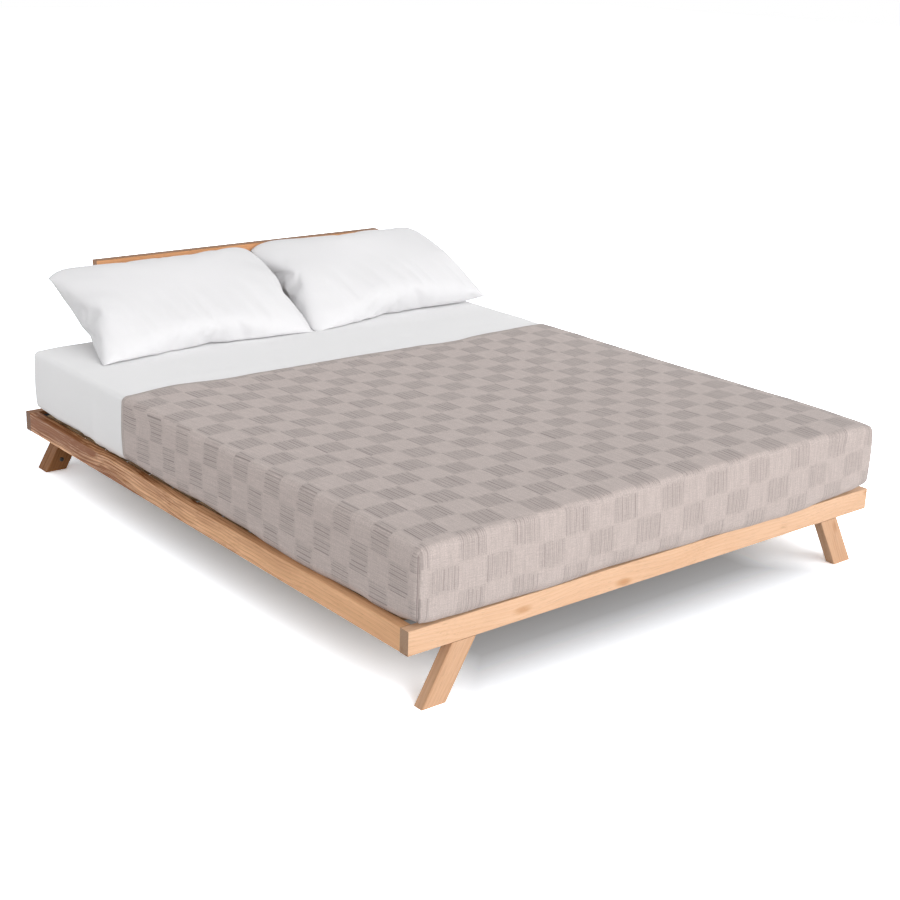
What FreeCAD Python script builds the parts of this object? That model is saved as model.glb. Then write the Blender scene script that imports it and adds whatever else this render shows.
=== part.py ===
import FreeCAD, Part
import math
import os
import Sketcher
from FreeCAD import Placement, Rotation, Vector

# Double bed: a slatted timber frame on splayed legs, with its headboard, mattress and bedding.
# Millimetres. Seen from the foot, +X is to the right; +Y is to the headboard, +Z up.
# The origin is on the floor, under the middle of the bed's outline.

SIZES = [
    # Mattress, king size, and what the frame leaves round it
    ("mattress_width", 1670, "across the bed"),
    ("mattress_length", 2030, "along the bed"),
    ("mattress_thickness", 212, "bottom to top"),
    ("side_margin", 20, "mattress's side to the frame's side"),
    ("head_margin", 41.9, "mattress's head end to the head rail's back"),
    ("foot_overhang", 12, "blanket's face past the foot rail's face"),
    # Frame boards, all of one stock
    ("rail_height", 63, "board on edge"),
    ("rail_thickness", 32, "board's thickness"),
    ("rail_bottom", 152, "floor to the rails' lower edge"),
    ("edge_ease", 1.5, "chamfer that takes the arris off each board"),
    ("joint_gap", 0.1, "slack round a tongue in its housing"),
    ("overrun", 1, "how far a cutter runs past the face it opens"),
    # Legs, let into the rails' inner faces with a leaning half lap
    ("leg_width", 63, "square to the leg's length"),
    ("leg_thickness", 32, "leg's thickness"),
    ("leg_lean", 30, "degrees from upright, feet outwards"),
    ("sole_inset", 45, "frame's side to the sole's outer corner"),
    ("lap_rise", 48, "how far a tongue runs up inside its rail"),
    ("lap_depth", 16, "depth of the housing and thickness of the tongue"),
    # Headboard and the struts that carry it
    ("strut_thickness", 32, "strut behind each rear leg"),
    ("headboard_top", 685, "floor to the headboard's top edge"),
    ("headboard_height", 240, "board's height"),
    ("headboard_inset", 277, "frame's side to the board's end"),
    ("headboard_thickness", 32, "board's thickness"),
    ("panel_lap_rise", 190, "how far a strut's tongue runs up the board"),
    ("panel_lap_depth", 16, "depth of the housing in the board's back"),
    # Bolts through the rear legs and struts, with sleeve nuts behind
    ("bolt_radius", 4, "shank"),
    ("bolt_head_radius", 7.5, "flanged head"),
    ("bolt_head_height", 3, "flanged head"),
    ("bolt_hole_slack", 0.15, "hole round the shank"),
    ("bolt_floor_height", 36, "floor to the lower bolt's axis"),
    ("bolt_end_gap", 8, "bolt's end to the strut's back"),
    ("sleeve_radius", 5.5, "sleeve of the nut"),
    ("sleeve_length", 16, "sleeve of the nut"),
    # Screws, one pattern in several lengths
    ("screw_radius", 2, "shank"),
    ("screw_head_radius", 4, "pan head"),
    ("screw_head_height", 2, "pan head"),
    ("screw_slack", 0.05, "hole round the shank"),
    ("recess_slack", 0.2, "recess round a sunk head"),
    ("leg_screw_length", 27, "tongue to rail"),
    ("leg_screw_spread", 16, "either side of the tongue's middle"),
    ("bracket_screw_length", 22, "bracket to rail"),
    ("ledger_screw_length", 42, "ledger to rail"),
    ("slat_screw_length", 35, "end slats to the ledgers"),
    ("panel_screw_length", 24, "strut's tongue to the headboard"),
    ("post_screw_length", 40, "post's cheek to the beam"),
    ("post_screw_spread", 10, "either side of the post's middle"),
    # Steel angles inside the four corners
    ("bracket_reach", 50, "length of each leg of the angle"),
    ("bracket_height", 40, "height"),
    ("bracket_sheet", 3, "steel thickness"),
    ("bracket_hole_reach", 32, "corner to the screws"),
    ("bracket_hole_inset", 10, "top and bottom edges to the screws"),
    # Ledgers, centre beam and its posts
    ("ledger_height", 40, "cleat on each side rail"),
    ("ledger_thickness", 20, "cleat on each side rail"),
    ("ledger_bracket_gap", 5, "cleat's end to the corner angle"),
    ("beam_width", 42, "centre beam"),
    ("beam_height", 44, "centre beam"),
    ("beam_end_gap", 6, "beam's end to the cross rail"),
    ("shoe_sheet", 2, "steel of the shoe round the beam's end"),
    ("shoe_reach", 40, "shoe's length along the beam"),
    ("shoe_screw_spread", 10, "either side of the shoe's middle"),
    ("shoe_screw_drop", 12, "rails' mid height to the screws"),
    ("shoe_slack", 0.3, "beam inside the shoe"),
    ("post_width", 63, "across the bed"),
    ("post_thickness", 32, "along the bed"),
    ("post_cheek_drop", 4, "cheek's top under the beam's top"),
    ("post_glide_height", 18, "floor to the post's end"),
    ("glide_radius", 16, "levelling foot's sole"),
    ("glide_sole_height", 10, "levelling foot's sole"),
    ("glide_collar_radius", 9, "nut under the post"),
    ("glide_stud_radius", 4, "stud"),
    ("glide_stud_rise", 32, "stud inside the post"),
    # Slats
    ("slat_width", 90, "along the bed"),
    ("slat_thickness", 19, "board's thickness"),
    ("slat_end_gap", 2, "slat's end to the side rail"),
    ("tape_width", 25, "tape that spaces the slats"),
    ("tape_thickness", 1, "tape that spaces the slats"),
    ("tape_inset", 420, "bed's middle to the tape"),
    # The mattress's form and the cloth on it
    ("mattress_corner", 45, "radius of the corners in plan"),
    ("mattress_top_round", 30, "radius of the top edge"),
    ("mattress_bottom_round", 42, "radius of the bottom edge"),
    ("soft_gap", 0.3, "between a soft piece and its neighbour"),
    ("sheet_thickness", 1, "fitted sheet"),
    ("blanket_thickness", 2.5, "blanket"),
    ("blanket_reach", 1400, "foot rail's face to the blanket's hem"),
    ("tuck_gap", 3, "mattress bottom to the tucked edges"),
    # Pillows
    ("pillow_width", 800, "filled"),
    ("pillow_depth", 400, "filled, seam to seam"),
    ("pillow_thickness", 168, "filled"),
    ("pillow_end_rise", 135, "middle to the top of the arc that closes the ends"),
    ("pillow_draw", 14, "how far the short sides draw in"),
    ("pillow_long_draw", 10, "how far the long sides draw in"),
    ("pillow_rise", 240.7, "upper seam over the lower one, as the pillow leans"),
    ("pillow_gap", 10, "between the two pillows"),
    ("pillow_shift", 43, "bed's middle to the middle of the pair, to the right"),
]
SLAT_COUNT = 14
SCREW_SIDES = 8
BOLT_SIDES = 12
PARALLEL = 0.999
LEVEL = 0.001
POST_LENGTH_SHARES = (1 / 3, 2 / 3)
LEDGER_SCREW_COUNT = 4
PANEL_SCREW_SHARES = (0.2, 0.5, 0.8)

document = FreeCAD.newDocument("double_bed")
sheet = document.addObject("Spreadsheet::Sheet", "sizes")
for row, (alias, number, meaning) in enumerate(SIZES, start=1):
    sheet.set(f"A{row}", str(number))
    sheet.setAlias(f"A{row}", alias)
    sheet.set(f"B{row}", meaning)
document.recompute()


def worth(expression):
    """The number that an expression in the sheet's names comes to."""
    return float(sheet.evalExpression(expression))


# Places that several pieces share, as expressions in the sheet's names
SHEET_OFFSET = "(sizes.soft_gap + sizes.sheet_thickness)"
BLANKET_OFFSET = f"({SHEET_OFFSET} + sizes.soft_gap + sizes.blanket_thickness)"
FRAME_WIDTH = "(sizes.mattress_width + 2 * sizes.side_margin)"
FRAME_LENGTH = f"(sizes.mattress_length + {BLANKET_OFFSET} - sizes.foot_overhang + sizes.head_margin)"
NUT_FLANGE = "sizes.bolt_head_height"
FOOT = f"((sizes.foot_overhang - {FRAME_LENGTH} - sizes.strut_thickness - {NUT_FLANGE}) / 2)"
HEAD = f"({FOOT} + {FRAME_LENGTH})"
INNER_FOOT = f"({FOOT} + sizes.rail_thickness)"
INNER_HEAD = f"({HEAD} - sizes.rail_thickness)"
INNER_LENGTH = f"({FRAME_LENGTH} - 2 * sizes.rail_thickness)"
INNER_SIDE = f"({FRAME_WIDTH} / 2 - sizes.rail_thickness)"
RAIL_TOP = "(sizes.rail_bottom + sizes.rail_height)"
SLAT_SEAT = f"({RAIL_TOP} - sizes.slat_thickness)"
LEAN = "tan(sizes.leg_lean)"
LEG_SPAN = "(sizes.leg_width / cos(sizes.leg_lean))"
SOLE = f"({FRAME_WIDTH} / 2 - sizes.sole_inset)"
LAP_MIDDLE = "(sizes.rail_bottom + sizes.lap_rise / 2)"
BOLT_HEIGHTS = ("sizes.bolt_floor_height", LAP_MIDDLE)
HEADBOARD_WIDTH = f"({FRAME_WIDTH} - 2 * sizes.headboard_inset)"
PANEL_BOTTOM = "(sizes.headboard_top - sizes.headboard_height)"
PANEL_SCREW_HEIGHTS = [f"({PANEL_BOTTOM} + sizes.panel_lap_rise * {share})" for share in PANEL_SCREW_SHARES]
BRACKET_DROP = "((sizes.rail_height - sizes.bracket_height) / 2)"
BRACKET_HOLE_RISES = ("sizes.bracket_hole_inset", "(sizes.bracket_height - sizes.bracket_hole_inset)")
LEDGER_START = "(sizes.bracket_reach + sizes.ledger_bracket_gap)"
LEDGER_LENGTH = f"({INNER_LENGTH} - 2 * {LEDGER_START})"
LEDGER_SCREW_PLACES = [f"({LEDGER_LENGTH} * {(step + 0.5) / LEDGER_SCREW_COUNT})"
                       for step in range(LEDGER_SCREW_COUNT)]
SLAT_LENGTH = f"(2 * ({INNER_SIDE} - sizes.slat_end_gap))"
BEAM_BOTTOM = f"({SLAT_SEAT} - sizes.beam_height)"
MATTRESS_BOTTOM = f"({RAIL_TOP} + sizes.tape_thickness + sizes.soft_gap)"
MATTRESS_FOOT = f"({FOOT} - sizes.foot_overhang + {BLANKET_OFFSET})"
MATTRESS_TOP = f"({MATTRESS_BOTTOM} + sizes.mattress_thickness)"
BEAM_CHEEK = "(sizes.beam_width / 2 + sizes.shoe_slack)"
POST_CHEEK_END = "(sizes.post_width - sizes.beam_width / 2)"
POST_SCREW_HEIGHT = "(sizes.beam_height / 2)"
POST_PLACES = [f"({INNER_LENGTH} * {share})" for share in POST_LENGTH_SHARES]
BOLT_HOLE = "(sizes.bolt_radius + sizes.bolt_hole_slack)"
SCREW_HOLE = "(sizes.screw_radius + sizes.screw_slack)"
RECESS_RADIUS = "(sizes.screw_head_radius + sizes.recess_slack)"
RECESS_DEPTH = "(sizes.screw_head_height + sizes.recess_slack)"


def leg_axis(height):
    """How far from the bed's middle a leg's centre line stands at a height over the floor."""
    return f"({SOLE} - {LEG_SPAN} / 2 - ({height}) * {LEAN})"


def new_body(label):
    body = document.addObject("PartDesign::Body", label)
    body.Label = label
    return body


def new_sketch(body, plane, start="0"):
    """A sketch on one of the body's own origin planes, moved by start along +X, +Y or +Z."""
    sketch = body.newObject("Sketcher::SketchObject", body.Label + "_sketch")
    support = next(item for item in body.Origin.OriginFeatures if item.Role == plane)
    sketch.AttachmentSupport = (support, [""])
    sketch.MapMode = "FlatFace"
    way = "-1" if plane == "XZ_Plane" else "1"
    sketch.setExpression("AttachmentOffset.Base.z", f"{way} * ({start})")
    return sketch


def bind(sketch, kind, geometry, point, expression):
    """Hold a point's distance from the sketch's origin to an expression."""
    rule = Sketcher.Constraint(kind, -1, 1, geometry, point, worth(expression))
    sketch.setExpression(f"Constraints[{sketch.addConstraint(rule)}]", expression)


def outline(sketch, points):
    """A closed outline of straight lines; each corner is a pair of expressions."""
    count = len(points)
    turn = 2 * math.pi / count
    rough = [Vector(math.cos(turn * step), math.sin(turn * step), 0) for step in range(count)]
    first = sketch.GeometryCount
    for step in range(count):
        sketch.addGeometry(Part.LineSegment(rough[step], rough[(step + 1) % count]), False)
    for step in range(count):
        follower = first + (step + 1) % count
        sketch.addConstraint(Sketcher.Constraint("Coincident", first + step, 2, follower, 1))
    for step, (across, up) in enumerate(points):
        bind(sketch, "DistanceX", first + step, 1, across)
        bind(sketch, "DistanceY", first + step, 1, up)


def board_outline(sketch, low, high, ease="sizes.edge_ease"):
    """A board's section between two corners, with its four arrises taken off."""
    (left, bottom), (right, top) = low, high
    outline(sketch, [
        (f"{left} + {ease}", bottom),
        (f"{right} - {ease}", bottom),
        (right, f"{bottom} + {ease}"),
        (right, f"{top} - {ease}"),
        (f"{right} - {ease}", top),
        (f"{left} + {ease}", top),
        (left, f"{top} - {ease}"),
        (left, f"{bottom} + {ease}"),
    ])


def pad(body, sketch, length):
    """Thicken a sketch along +X, +Y or +Z."""
    feature = body.newObject("PartDesign::Pad", body.Label + "_pad")
    feature.Profile = sketch
    feature.Reversed = "XZ_Plane" in sketch.AttachmentSupport[0][0].Role
    feature.setExpression("Length", length)
    return feature


def pocket(body, sketch, depth):
    """Cut a sketch away along +X, +Y or +Z."""
    feature = body.newObject("PartDesign::Pocket", body.Label + "_pocket")
    feature.Profile = sketch
    feature.Reversed = "XZ_Plane" not in sketch.AttachmentSupport[0][0].Role
    feature.setExpression("Length", depth)
    return feature


def corner_angles(sides):
    """Degrees to the corners of a regular polygon that has a flat on each axis."""
    return [(step + 0.5) * 360 / sides for step in range(sides)]


# Fasteners and their holes repeat often, so they are drawn many-sided to keep the model light.
def drill(body, plane, centres, radius, start, depth, sides=SCREW_SIDES):
    """Holes along +X, +Y or +Z from a start to a depth."""
    sketch = new_sketch(body, plane, start)
    for across, up in centres:
        outline(sketch, [(f"{across} + {radius} * cos({angle})", f"{up} + {radius} * sin({angle})")
                         for angle in corner_angles(sides)])
    return pocket(body, sketch, depth)


def place(item, across="0", along="0", up="0", turn=0, axis=Vector(0, 0, 1)):
    item.Placement = Placement(Vector(), Rotation(axis, turn))
    item.setExpression("Placement.Base.x", across)
    item.setExpression("Placement.Base.y", along)
    item.setExpression("Placement.Base.z", up)


def leaning_outline(sketch, side, low, high, slack="0", base="0"):
    """A leg's or strut's outline between two heights over the floor, drawn from height base."""
    points = []
    for height, edge in ((low, 0), (low, 1), (high, 1), (high, 0)):
        outer = f"{SOLE} + {slack} - ({height}) * {LEAN}"
        inner = f"{SOLE} - {LEG_SPAN} - {slack} - ({height}) * {LEAN}"
        across = inner if edge else outer
        points.append((f"{side} * ({across})", f"({height}) - ({base})"))
    outline(sketch, points)


# Foot and head rails: full-width boards. Each has two leaning housings in its inner face for the
# legs' tongues. Drawn with the outer face at Y zero and the lower edge at Z zero.
def cross_rail(label):
    body = new_body(label)
    profile = new_sketch(body, "YZ_Plane", f"-{FRAME_WIDTH} / 2")
    board_outline(profile, ("0", "0"), ("sizes.rail_thickness", "sizes.rail_height"))
    pad(body, profile, FRAME_WIDTH)
    for side in (-1, 1):
        housing = new_sketch(body, "XZ_Plane", "sizes.rail_thickness - sizes.lap_depth")
        leaning_outline(housing, side, "sizes.rail_bottom - sizes.overrun",
                        "sizes.rail_bottom + sizes.lap_rise + sizes.joint_gap",
                        "sizes.joint_gap", "sizes.rail_bottom")
        pocket(body, housing, "sizes.lap_depth + sizes.overrun")
    pilots = [(f"{side} * ({INNER_SIDE} - sizes.bracket_hole_reach)", f"{BRACKET_DROP} + {rise}")
              for side in (-1, 1) for rise in BRACKET_HOLE_RISES]
    drill(body, "XZ_Plane", pilots, SCREW_HOLE,
          "sizes.rail_thickness + sizes.bracket_sheet - sizes.bracket_screw_length",
          "sizes.bracket_screw_length")
    shoe_pilots = [(f"{step} * sizes.shoe_screw_spread", "sizes.rail_height / 2 - sizes.shoe_screw_drop")
                   for step in (-1, 1)]
    drill(body, "XZ_Plane", shoe_pilots, SCREW_HOLE,
          "sizes.rail_thickness + sizes.shoe_sheet - sizes.bracket_screw_length",
          "sizes.bracket_screw_length")
    return body


foot_rail = cross_rail("foot_rail")
leg_screw_spots = [f"{side} * {leg_axis(LAP_MIDDLE)} + {step} * sizes.leg_screw_spread"
                   for side in (-1, 1) for step in (-1, 1)]
drill(foot_rail, "XZ_Plane", [(spot, "sizes.lap_rise / 2") for spot in leg_screw_spots], SCREW_HOLE,
      "sizes.rail_thickness - sizes.leg_screw_length", "sizes.leg_screw_length")
place(foot_rail, along=FOOT, up="sizes.rail_bottom")

head_rail = cross_rail("head_rail")
drill(head_rail, "XZ_Plane", [(f"{side} * {leg_axis(LAP_MIDDLE)}", "sizes.lap_rise / 2")
                              for side in (-1, 1)],
      BOLT_HOLE, "-sizes.overrun", "sizes.rail_thickness + 2 * sizes.overrun", BOLT_SIDES)
place(head_rail, along=HEAD, up="sizes.rail_bottom", turn=180)


# Side rails: boards that butt between the cross rails, drawn from the foot end with the inner
# face at X zero and the thickness towards the bed's outside.
def side_rail(label, side):
    body = new_body(label)
    profile = new_sketch(body, "XZ_Plane")
    outer = f"{side} * sizes.rail_thickness"
    low, high = ("0", outer) if side > 0 else (outer, "0")
    board_outline(profile, (low, "0"), (high, "sizes.rail_height"))
    pad(body, profile, INNER_LENGTH)
    bracket_pilots = [(along, f"{BRACKET_DROP} + {rise}")
                      for along in ("sizes.bracket_hole_reach", f"{INNER_LENGTH} - sizes.bracket_hole_reach")
                      for rise in BRACKET_HOLE_RISES]
    ledger_rise = f"{SLAT_SEAT} - sizes.ledger_height / 2 - sizes.rail_bottom"
    ledger_pilots = [(f"{LEDGER_START} + {along}", ledger_rise) for along in LEDGER_SCREW_PLACES]
    for spots, depth in (
            (bracket_pilots, "(sizes.bracket_screw_length - sizes.bracket_sheet)"),
            (ledger_pilots, "(sizes.ledger_screw_length - sizes.ledger_thickness)")):
        start = "0" if side > 0 else f"-{depth}"
        drill(body, "YZ_Plane", spots, SCREW_HOLE, start, depth)
    place(body, f"{side} * {INNER_SIDE}", INNER_FOOT, "sizes.rail_bottom")


side_rail("side_rail_left", -1)
side_rail("side_rail_right", 1)


# Legs: one board each, leaning outwards. Below the rail it is full thickness, and its shoulder
# carries the rail; above, its inner half runs on as a tongue inside the rail's housing.
def leg(label, side, head_end):
    body = new_body(label)
    way = side if not head_end else -side
    tongue_start = "sizes.rail_thickness - sizes.lap_depth"
    tongue = new_sketch(body, "XZ_Plane", tongue_start)
    leaning_outline(tongue, way, "0", "sizes.rail_bottom + sizes.lap_rise")
    pad(body, tongue, f"sizes.leg_thickness - ({tongue_start})")
    stock = new_sketch(body, "XZ_Plane")
    leaning_outline(stock, way, "0", "sizes.rail_bottom")
    full = pad(body, stock, "sizes.leg_thickness")
    document.recompute()
    ease_long_edges(body, full, way)
    if head_end:
        bolts = [(f"{way} * {leg_axis(height)}", height) for height in BOLT_HEIGHTS]
        drill(body, "XZ_Plane", bolts, BOLT_HOLE, "-sizes.overrun",
              "sizes.leg_thickness + 2 * sizes.overrun", BOLT_SIDES)
        place(body, along=HEAD, turn=180)
    else:
        spots = [(f"{way} * {leg_axis(LAP_MIDDLE)} + {step} * sizes.leg_screw_spread", LAP_MIDDLE)
                 for step in (-1, 1)]
        drill(body, "XZ_Plane", spots, SCREW_HOLE, "0", "sizes.leg_thickness + sizes.overrun")
        place(body, along=FOOT)


def ease_long_edges(body, base, side):
    """Chamfer the edges that run along a leaning leg or strut."""
    lean = math.radians(worth("sizes.leg_lean"))
    grain = Vector(-side * math.sin(lean), 0, math.cos(lean))
    names = []
    for number, edge in enumerate(base.Shape.Edges, start=1):
        follows = abs(edge.tangentAt(edge.FirstParameter).dot(grain)) > PARALLEL
        if follows and edge.Length > worth("sizes.leg_width"):
            names.append(f"Edge{number}")
    chamfer = body.newObject("PartDesign::Chamfer", body.Label + "_ease")
    chamfer.Base = (base, names)
    chamfer.setExpression("Size", "sizes.edge_ease")


leg("front_leg_left", -1, False)
leg("front_leg_right", 1, False)
leg("rear_leg_left", -1, True)
leg("rear_leg_right", 1, True)


# Struts: they stand behind the rear legs on the same lean, bolted through them, and run up to
# the headboard, where their rear half is let into its back.
def strut(label, side):
    body = new_body(label)
    top = f"{PANEL_BOTTOM} + sizes.panel_lap_rise"
    tongue_start = "sizes.panel_lap_depth + sizes.joint_gap"
    tongue = new_sketch(body, "XZ_Plane", tongue_start)
    leaning_outline(tongue, side, "0", top)
    pad(body, tongue, f"sizes.strut_thickness - ({tongue_start})")
    stock = new_sketch(body, "XZ_Plane")
    leaning_outline(stock, side, "0", PANEL_BOTTOM)
    full = pad(body, stock, "sizes.strut_thickness")
    document.recompute()
    ease_long_edges(body, full, side)
    bolts = [(f"{side} * {leg_axis(height)}", height) for height in BOLT_HEIGHTS]
    drill(body, "XZ_Plane", bolts, BOLT_HOLE, "-sizes.overrun",
          "sizes.strut_thickness + 2 * sizes.overrun", BOLT_SIDES)
    drill(body, "XZ_Plane", bolts, "(sizes.sleeve_radius + sizes.bolt_hole_slack)",
          "sizes.strut_thickness - sizes.sleeve_length", "sizes.sleeve_length + sizes.overrun", BOLT_SIDES)
    spots = [(f"{side} * {leg_axis(height)}", height) for height in PANEL_SCREW_HEIGHTS]
    drill(body, "XZ_Plane", spots, SCREW_HOLE, "0", "sizes.strut_thickness + sizes.overrun")
    drill(body, "XZ_Plane", spots, RECESS_RADIUS, f"sizes.strut_thickness - {RECESS_DEPTH}",
          f"{RECESS_DEPTH} + sizes.overrun")
    place(body, along=HEAD)


strut("strut_left", -1)
strut("strut_right", 1)

# Headboard: one low board, drawn with its front face at Y zero, housed from behind for the struts.
headboard = new_body("headboard_panel")
profile = new_sketch(headboard, "YZ_Plane", f"-{HEADBOARD_WIDTH} / 2")
board_outline(profile, ("0", "0"), ("sizes.headboard_thickness", "sizes.headboard_height"))
pad(headboard, profile, HEADBOARD_WIDTH)
for side in (-1, 1):
    housing = new_sketch(headboard, "XZ_Plane", "sizes.panel_lap_depth")
    leaning_outline(housing, side, f"{PANEL_BOTTOM} - sizes.overrun",
                    f"{PANEL_BOTTOM} + sizes.panel_lap_rise + sizes.joint_gap",
                    "sizes.joint_gap", PANEL_BOTTOM)
    pocket(headboard, housing, "sizes.headboard_thickness - sizes.panel_lap_depth + sizes.overrun")
panel_pilots = [(f"{side} * {leg_axis(height)}", f"{height} - {PANEL_BOTTOM}")
                for side in (-1, 1) for height in PANEL_SCREW_HEIGHTS]
drill(headboard, "XZ_Plane", panel_pilots, SCREW_HOLE,
      f"sizes.strut_thickness - {RECESS_DEPTH} - sizes.panel_screw_length", "sizes.panel_screw_length")
place(headboard, along=HEAD, up=PANEL_BOTTOM)


# Corner angles: bent steel, screwed to a side rail and a cross rail.
def corner_bracket(label, side, along, turn):
    body = new_body(label)
    plan = new_sketch(body, "XY_Plane")
    outline(plan, [
        ("0", "0"),
        ("sizes.bracket_reach", "0"),
        ("sizes.bracket_reach", "sizes.bracket_sheet"),
        ("sizes.bracket_sheet", "sizes.bracket_sheet"),
        ("sizes.bracket_sheet", "sizes.bracket_reach"),
        ("0", "sizes.bracket_reach"),
    ])
    pad(body, plan, "sizes.bracket_height")
    for plane in ("XZ_Plane", "YZ_Plane"):
        holes = [("sizes.bracket_hole_reach", rise) for rise in BRACKET_HOLE_RISES]
        drill(body, plane, holes, SCREW_HOLE, "-sizes.overrun", "sizes.bracket_sheet + 2 * sizes.overrun")
    place(body, f"{side} * {INNER_SIDE}", along, f"sizes.rail_bottom + {BRACKET_DROP}", turn)


corner_bracket("corner_bracket_foot_left", -1, INNER_FOOT, 0)
corner_bracket("corner_bracket_foot_right", 1, INNER_FOOT, 90)
corner_bracket("corner_bracket_head_right", 1, INNER_HEAD, 180)
corner_bracket("corner_bracket_head_left", -1, INNER_HEAD, 270)


# Ledgers: cleats screwed along the side rails; the slats' ends lie on them.
def ledger(label, side):
    body = new_body(label)
    profile = new_sketch(body, "XZ_Plane")
    inner = f"{-side} * sizes.ledger_thickness"
    low, high = (inner, "0") if side > 0 else ("0", inner)
    board_outline(profile, (low, "0"), (high, "sizes.ledger_height"))
    pad(body, profile, LEDGER_LENGTH)
    spots = [(along, "sizes.ledger_height / 2") for along in LEDGER_SCREW_PLACES]
    drill(body, "YZ_Plane", spots, SCREW_HOLE, f"{low} - sizes.overrun",
          "sizes.ledger_thickness + 2 * sizes.overrun")
    pilots = [(f"{-side} * sizes.ledger_thickness / 2", along)
              for along in ("sizes.slat_width / 2", f"{LEDGER_LENGTH} - sizes.slat_width / 2")]
    pilot_depth = f"(sizes.slat_screw_length - sizes.slat_thickness + {RECESS_DEPTH})"
    drill(body, "XY_Plane", pilots, SCREW_HOLE, f"sizes.ledger_height - {pilot_depth}",
          f"{pilot_depth} + sizes.overrun")
    place(body, f"{side} * {INNER_SIDE}", f"{INNER_FOOT} + {LEDGER_START}",
          f"{SLAT_SEAT} - sizes.ledger_height")


ledger("ledger_left", -1)
ledger("ledger_right", 1)

# Centre beam, hung between the cross rails in two steel shoes.
beam = new_body("centre_beam")
profile = new_sketch(beam, "XZ_Plane")
board_outline(profile, ("-sizes.beam_width / 2", "0"), ("sizes.beam_width / 2", "sizes.beam_height"))
pad(beam, profile, f"{INNER_LENGTH} - 2 * sizes.beam_end_gap")
post_screw_spots = [(f"{along} + {step} * sizes.post_screw_spread", POST_SCREW_HEIGHT)
                    for along in POST_PLACES for step in (-1, 1)]
drill(beam, "YZ_Plane", [(f"{along} - sizes.beam_end_gap", up) for along, up in post_screw_spots],
      SCREW_HOLE, f"{POST_CHEEK_END} - sizes.post_screw_length", "sizes.post_screw_length")
place(beam, along=f"{INNER_FOOT} + sizes.beam_end_gap", up=BEAM_BOTTOM)


# Beam shoes: folded steel, open at the top and towards the beam, screwed to the cross rail.
def beam_shoe(label, along, turn):
    body = new_body(label)
    plan = new_sketch(body, "XY_Plane", "-sizes.shoe_sheet - sizes.shoe_slack")
    outer = f"({BEAM_CHEEK} + sizes.shoe_sheet)"
    outline(plan, [
        (f"-{outer}", "0"),
        (outer, "0"),
        (outer, "sizes.shoe_reach"),
        (f"-{outer}", "sizes.shoe_reach"),
    ])
    pad(body, plan, "sizes.beam_height")
    inside = new_sketch(body, "XY_Plane", "-sizes.shoe_slack")
    past = "(sizes.shoe_reach + sizes.overrun)"
    outline(inside, [
        (f"-{BEAM_CHEEK}", "sizes.shoe_sheet"),
        (BEAM_CHEEK, "sizes.shoe_sheet"),
        (BEAM_CHEEK, past),
        (f"-{BEAM_CHEEK}", past),
    ])
    pocket(body, inside, "sizes.beam_height")
    holes = [(f"{step} * sizes.shoe_screw_spread",
              f"sizes.rail_bottom + sizes.rail_height / 2 - sizes.shoe_screw_drop - {BEAM_BOTTOM}")
             for step in (-1, 1)]
    drill(body, "XZ_Plane", holes, SCREW_HOLE, "-sizes.overrun", "sizes.shoe_sheet + 2 * sizes.overrun")
    place(body, along=along, up=BEAM_BOTTOM, turn=turn)


beam_shoe("beam_shoe_foot", INNER_FOOT, 0)
beam_shoe("beam_shoe_head", INNER_HEAD, 180)


# Posts under the beam: notched to take it on a shoulder, with a cheek screwed to its side.
def centre_leg(label, along):
    body = new_body(label)
    profile = new_sketch(body, "XZ_Plane", "-sizes.post_thickness / 2")
    shoulder = f"({BEAM_BOTTOM} - sizes.post_glide_height)"
    cheek_top = f"({shoulder} + sizes.beam_height - sizes.post_cheek_drop)"
    outline(profile, [
        ("-sizes.beam_width / 2", "0"),
        (POST_CHEEK_END, "0"),
        (POST_CHEEK_END, cheek_top),
        ("sizes.beam_width / 2", cheek_top),
        ("sizes.beam_width / 2", shoulder),
        ("-sizes.beam_width / 2", shoulder),
    ])
    pad(body, profile, "sizes.post_thickness")
    holes = [(f"{step} * sizes.post_screw_spread", f"{shoulder} + {POST_SCREW_HEIGHT}") for step in (-1, 1)]
    drill(body, "YZ_Plane", holes, SCREW_HOLE, "0", f"{POST_CHEEK_END} + sizes.overrun")
    drill(body, "XY_Plane", [("0", "0")], "(sizes.glide_stud_radius + sizes.bolt_hole_slack)",
          "-sizes.overrun", "sizes.glide_stud_rise + 2 * sizes.overrun", BOLT_SIDES)
    place(body, along=f"{INNER_FOOT} + {along}", up="sizes.post_glide_height")


centre_leg("centre_leg_foot", POST_PLACES[0])
centre_leg("centre_leg_head", POST_PLACES[1])


# Slats: boards across the bed on the ledgers and the beam. The two end ones are screwed down.
def slat(number):
    body = new_body(f"slat_{number + 1:02d}")
    profile = new_sketch(body, "YZ_Plane", f"-{SLAT_LENGTH} / 2")
    board_outline(profile, ("0", "0"), ("sizes.slat_width", "sizes.slat_thickness"))
    pad(body, profile, SLAT_LENGTH)
    if number in (0, SLAT_COUNT - 1):
        spots = [(f"{side} * ({INNER_SIDE} - sizes.ledger_thickness / 2)", "sizes.slat_width / 2")
                 for side in (-1, 1)]
        drill(body, "XY_Plane", spots, SCREW_HOLE, "-sizes.overrun",
              "sizes.slat_thickness + 2 * sizes.overrun")
        drill(body, "XY_Plane", spots, RECESS_RADIUS, f"sizes.slat_thickness - {RECESS_DEPTH}",
              f"{RECESS_DEPTH} + sizes.overrun")
    step = f"({LEDGER_LENGTH} - sizes.slat_width) / {SLAT_COUNT - 1}"
    place(body, along=f"{INNER_FOOT} + {LEDGER_START} + {number} * {step}", up=SLAT_SEAT)


for number in range(SLAT_COUNT):
    slat(number)

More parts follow.
